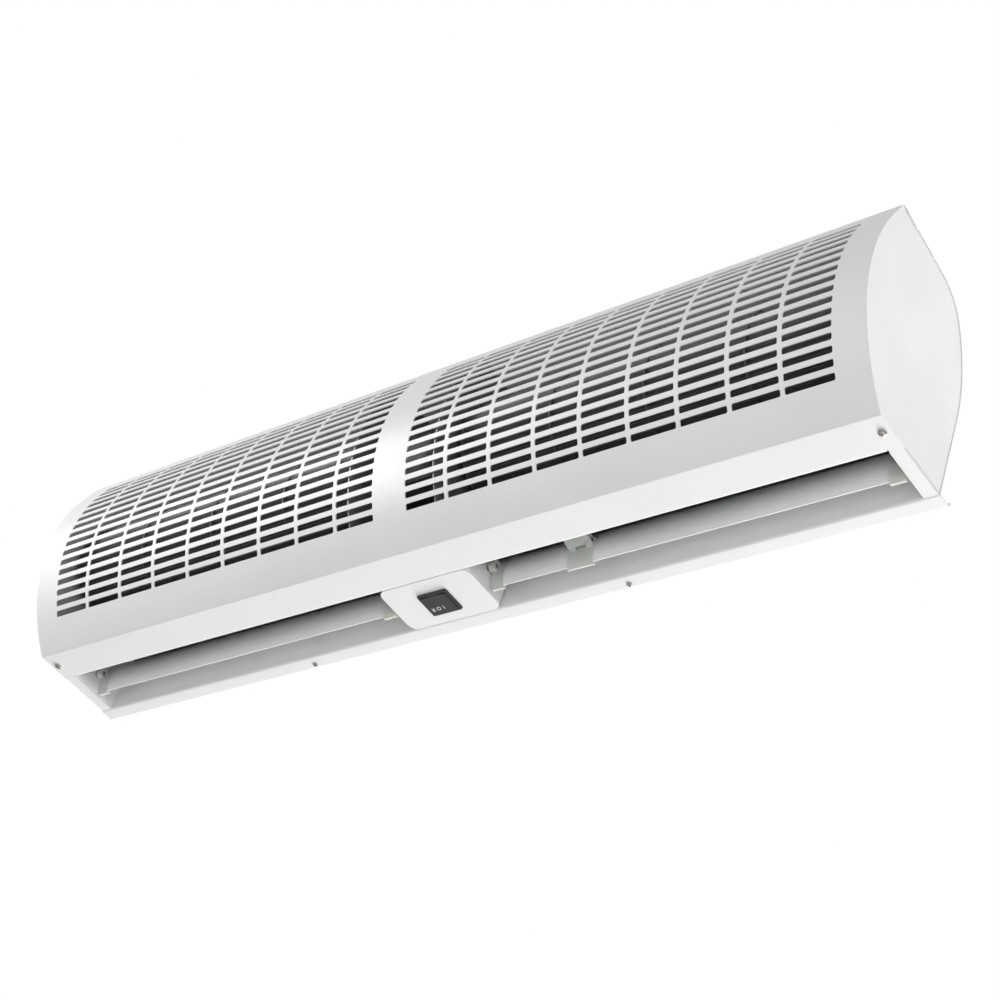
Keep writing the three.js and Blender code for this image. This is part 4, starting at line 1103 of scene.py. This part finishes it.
def disc_profile(face, inward, bore, hub):
    """A disc with a hub on its inner side."""
    return [(face, bore), (face, FAN_RADIUS), (face + inward * DISC, FAN_RADIUS),
            (face + inward * DISC, hub), (face + inward * HUB_LENGTH, hub),
            (face + inward * HUB_LENGTH, bore), (face, bore)]


def fan_wheels():
    """Cross-flow wheels: blades between two discs, held by rings."""
    wheel = fan_blades()
    profiles = [disc_profile(FAN_START, 1, 5.3, 12), disc_profile(FAN_END, -1, 4.3, 10)]
    for share in (1 / 4, 2 / 4, 3 / 4):
        x = FAN_START + (FAN_END - FAN_START) * share
        profiles.append(ring_profile(x - RING_HALF, x + RING_HALF, BLADE_HEEL - RING_INSET, FAN_RADIUS))
    join(wheel, *[turned(profile, spot(0, *fan_centre), (1, 0, 0), 72) for profile in profiles])
    for side, own in both_sides(wheel):
        done(own, f"{side}_blade_wheel", "impeller_aluminium", "fan_rotor", f"{side}_impeller", edge=0)


# ---------------------------------------------------------------- screws

def cross_screw(x, y, radius, height, recess):
    """A screw seen from below: shank, domed head and cross recess."""
    rim, top = HEAD_SEAT + height * 0.45, HEAD_SEAT + height
    dome = [(rim + (top - rim) * sin(radians(a)), radius * cos(radians(a * 0.93)))
            for a in (20, 40, 60, 80)]
    profile = [(-SCREW_LENGTH, 0), (-SCREW_LENGTH, SCREW_SHANK), (HEAD_SEAT, SCREW_SHANK),
               (HEAD_SEAT, radius), (rim, radius), *dome, (top, 0)]
    screw = turned(profile, spot(x, y, 0), (0, 0, -1), 28)
    for turn in (CROSS_TURN, CROSS_TURN + 90):
        along, across = way(turn) * radius * CROSS_SHARE, way(turn + 90) * CROSS_HALF_WIDTH
        outline = [Vector((x, y)) + a * along + b * across for a, b in CORNERS]
        cut(screw, block([spot(*point, recess - top) for point in outline], (0, 0, -3 * MM)))
    return screw


def screws():
    """Pan heads on the cover, and smaller flat heads under the rear strip."""
    cover = cross_screw(COVER_SCREW_X, COVER_SCREW_Y, radius=3.3, height=1.7, recess=1.1)
    hanging = cross_screw(HANG_SCREW_X, HANG_SCREW_Y, radius=2.5, height=1.0, recess=0.7)
    for kind, screw in (("cover", cover), ("hanging", hanging)):
        for side, own in both_sides(screw):
            done(own, f"{side}_{kind}_cross_screw", "bright_steel", "casing", f"{side}_{kind}_screw")


# ---------------------------------------------------------------- making

photo_camera()
dress_cad_nodes()
studio()
bpy.context.scene.view_settings.view_transform = "Standard"

front_cover()
rear_casing()
end_plates()
switch_panel()
switch_housing()
rocker()
switch_marks()
vane_blades()
vane_clips()
middle_clip()
fan_wheels()
screws()
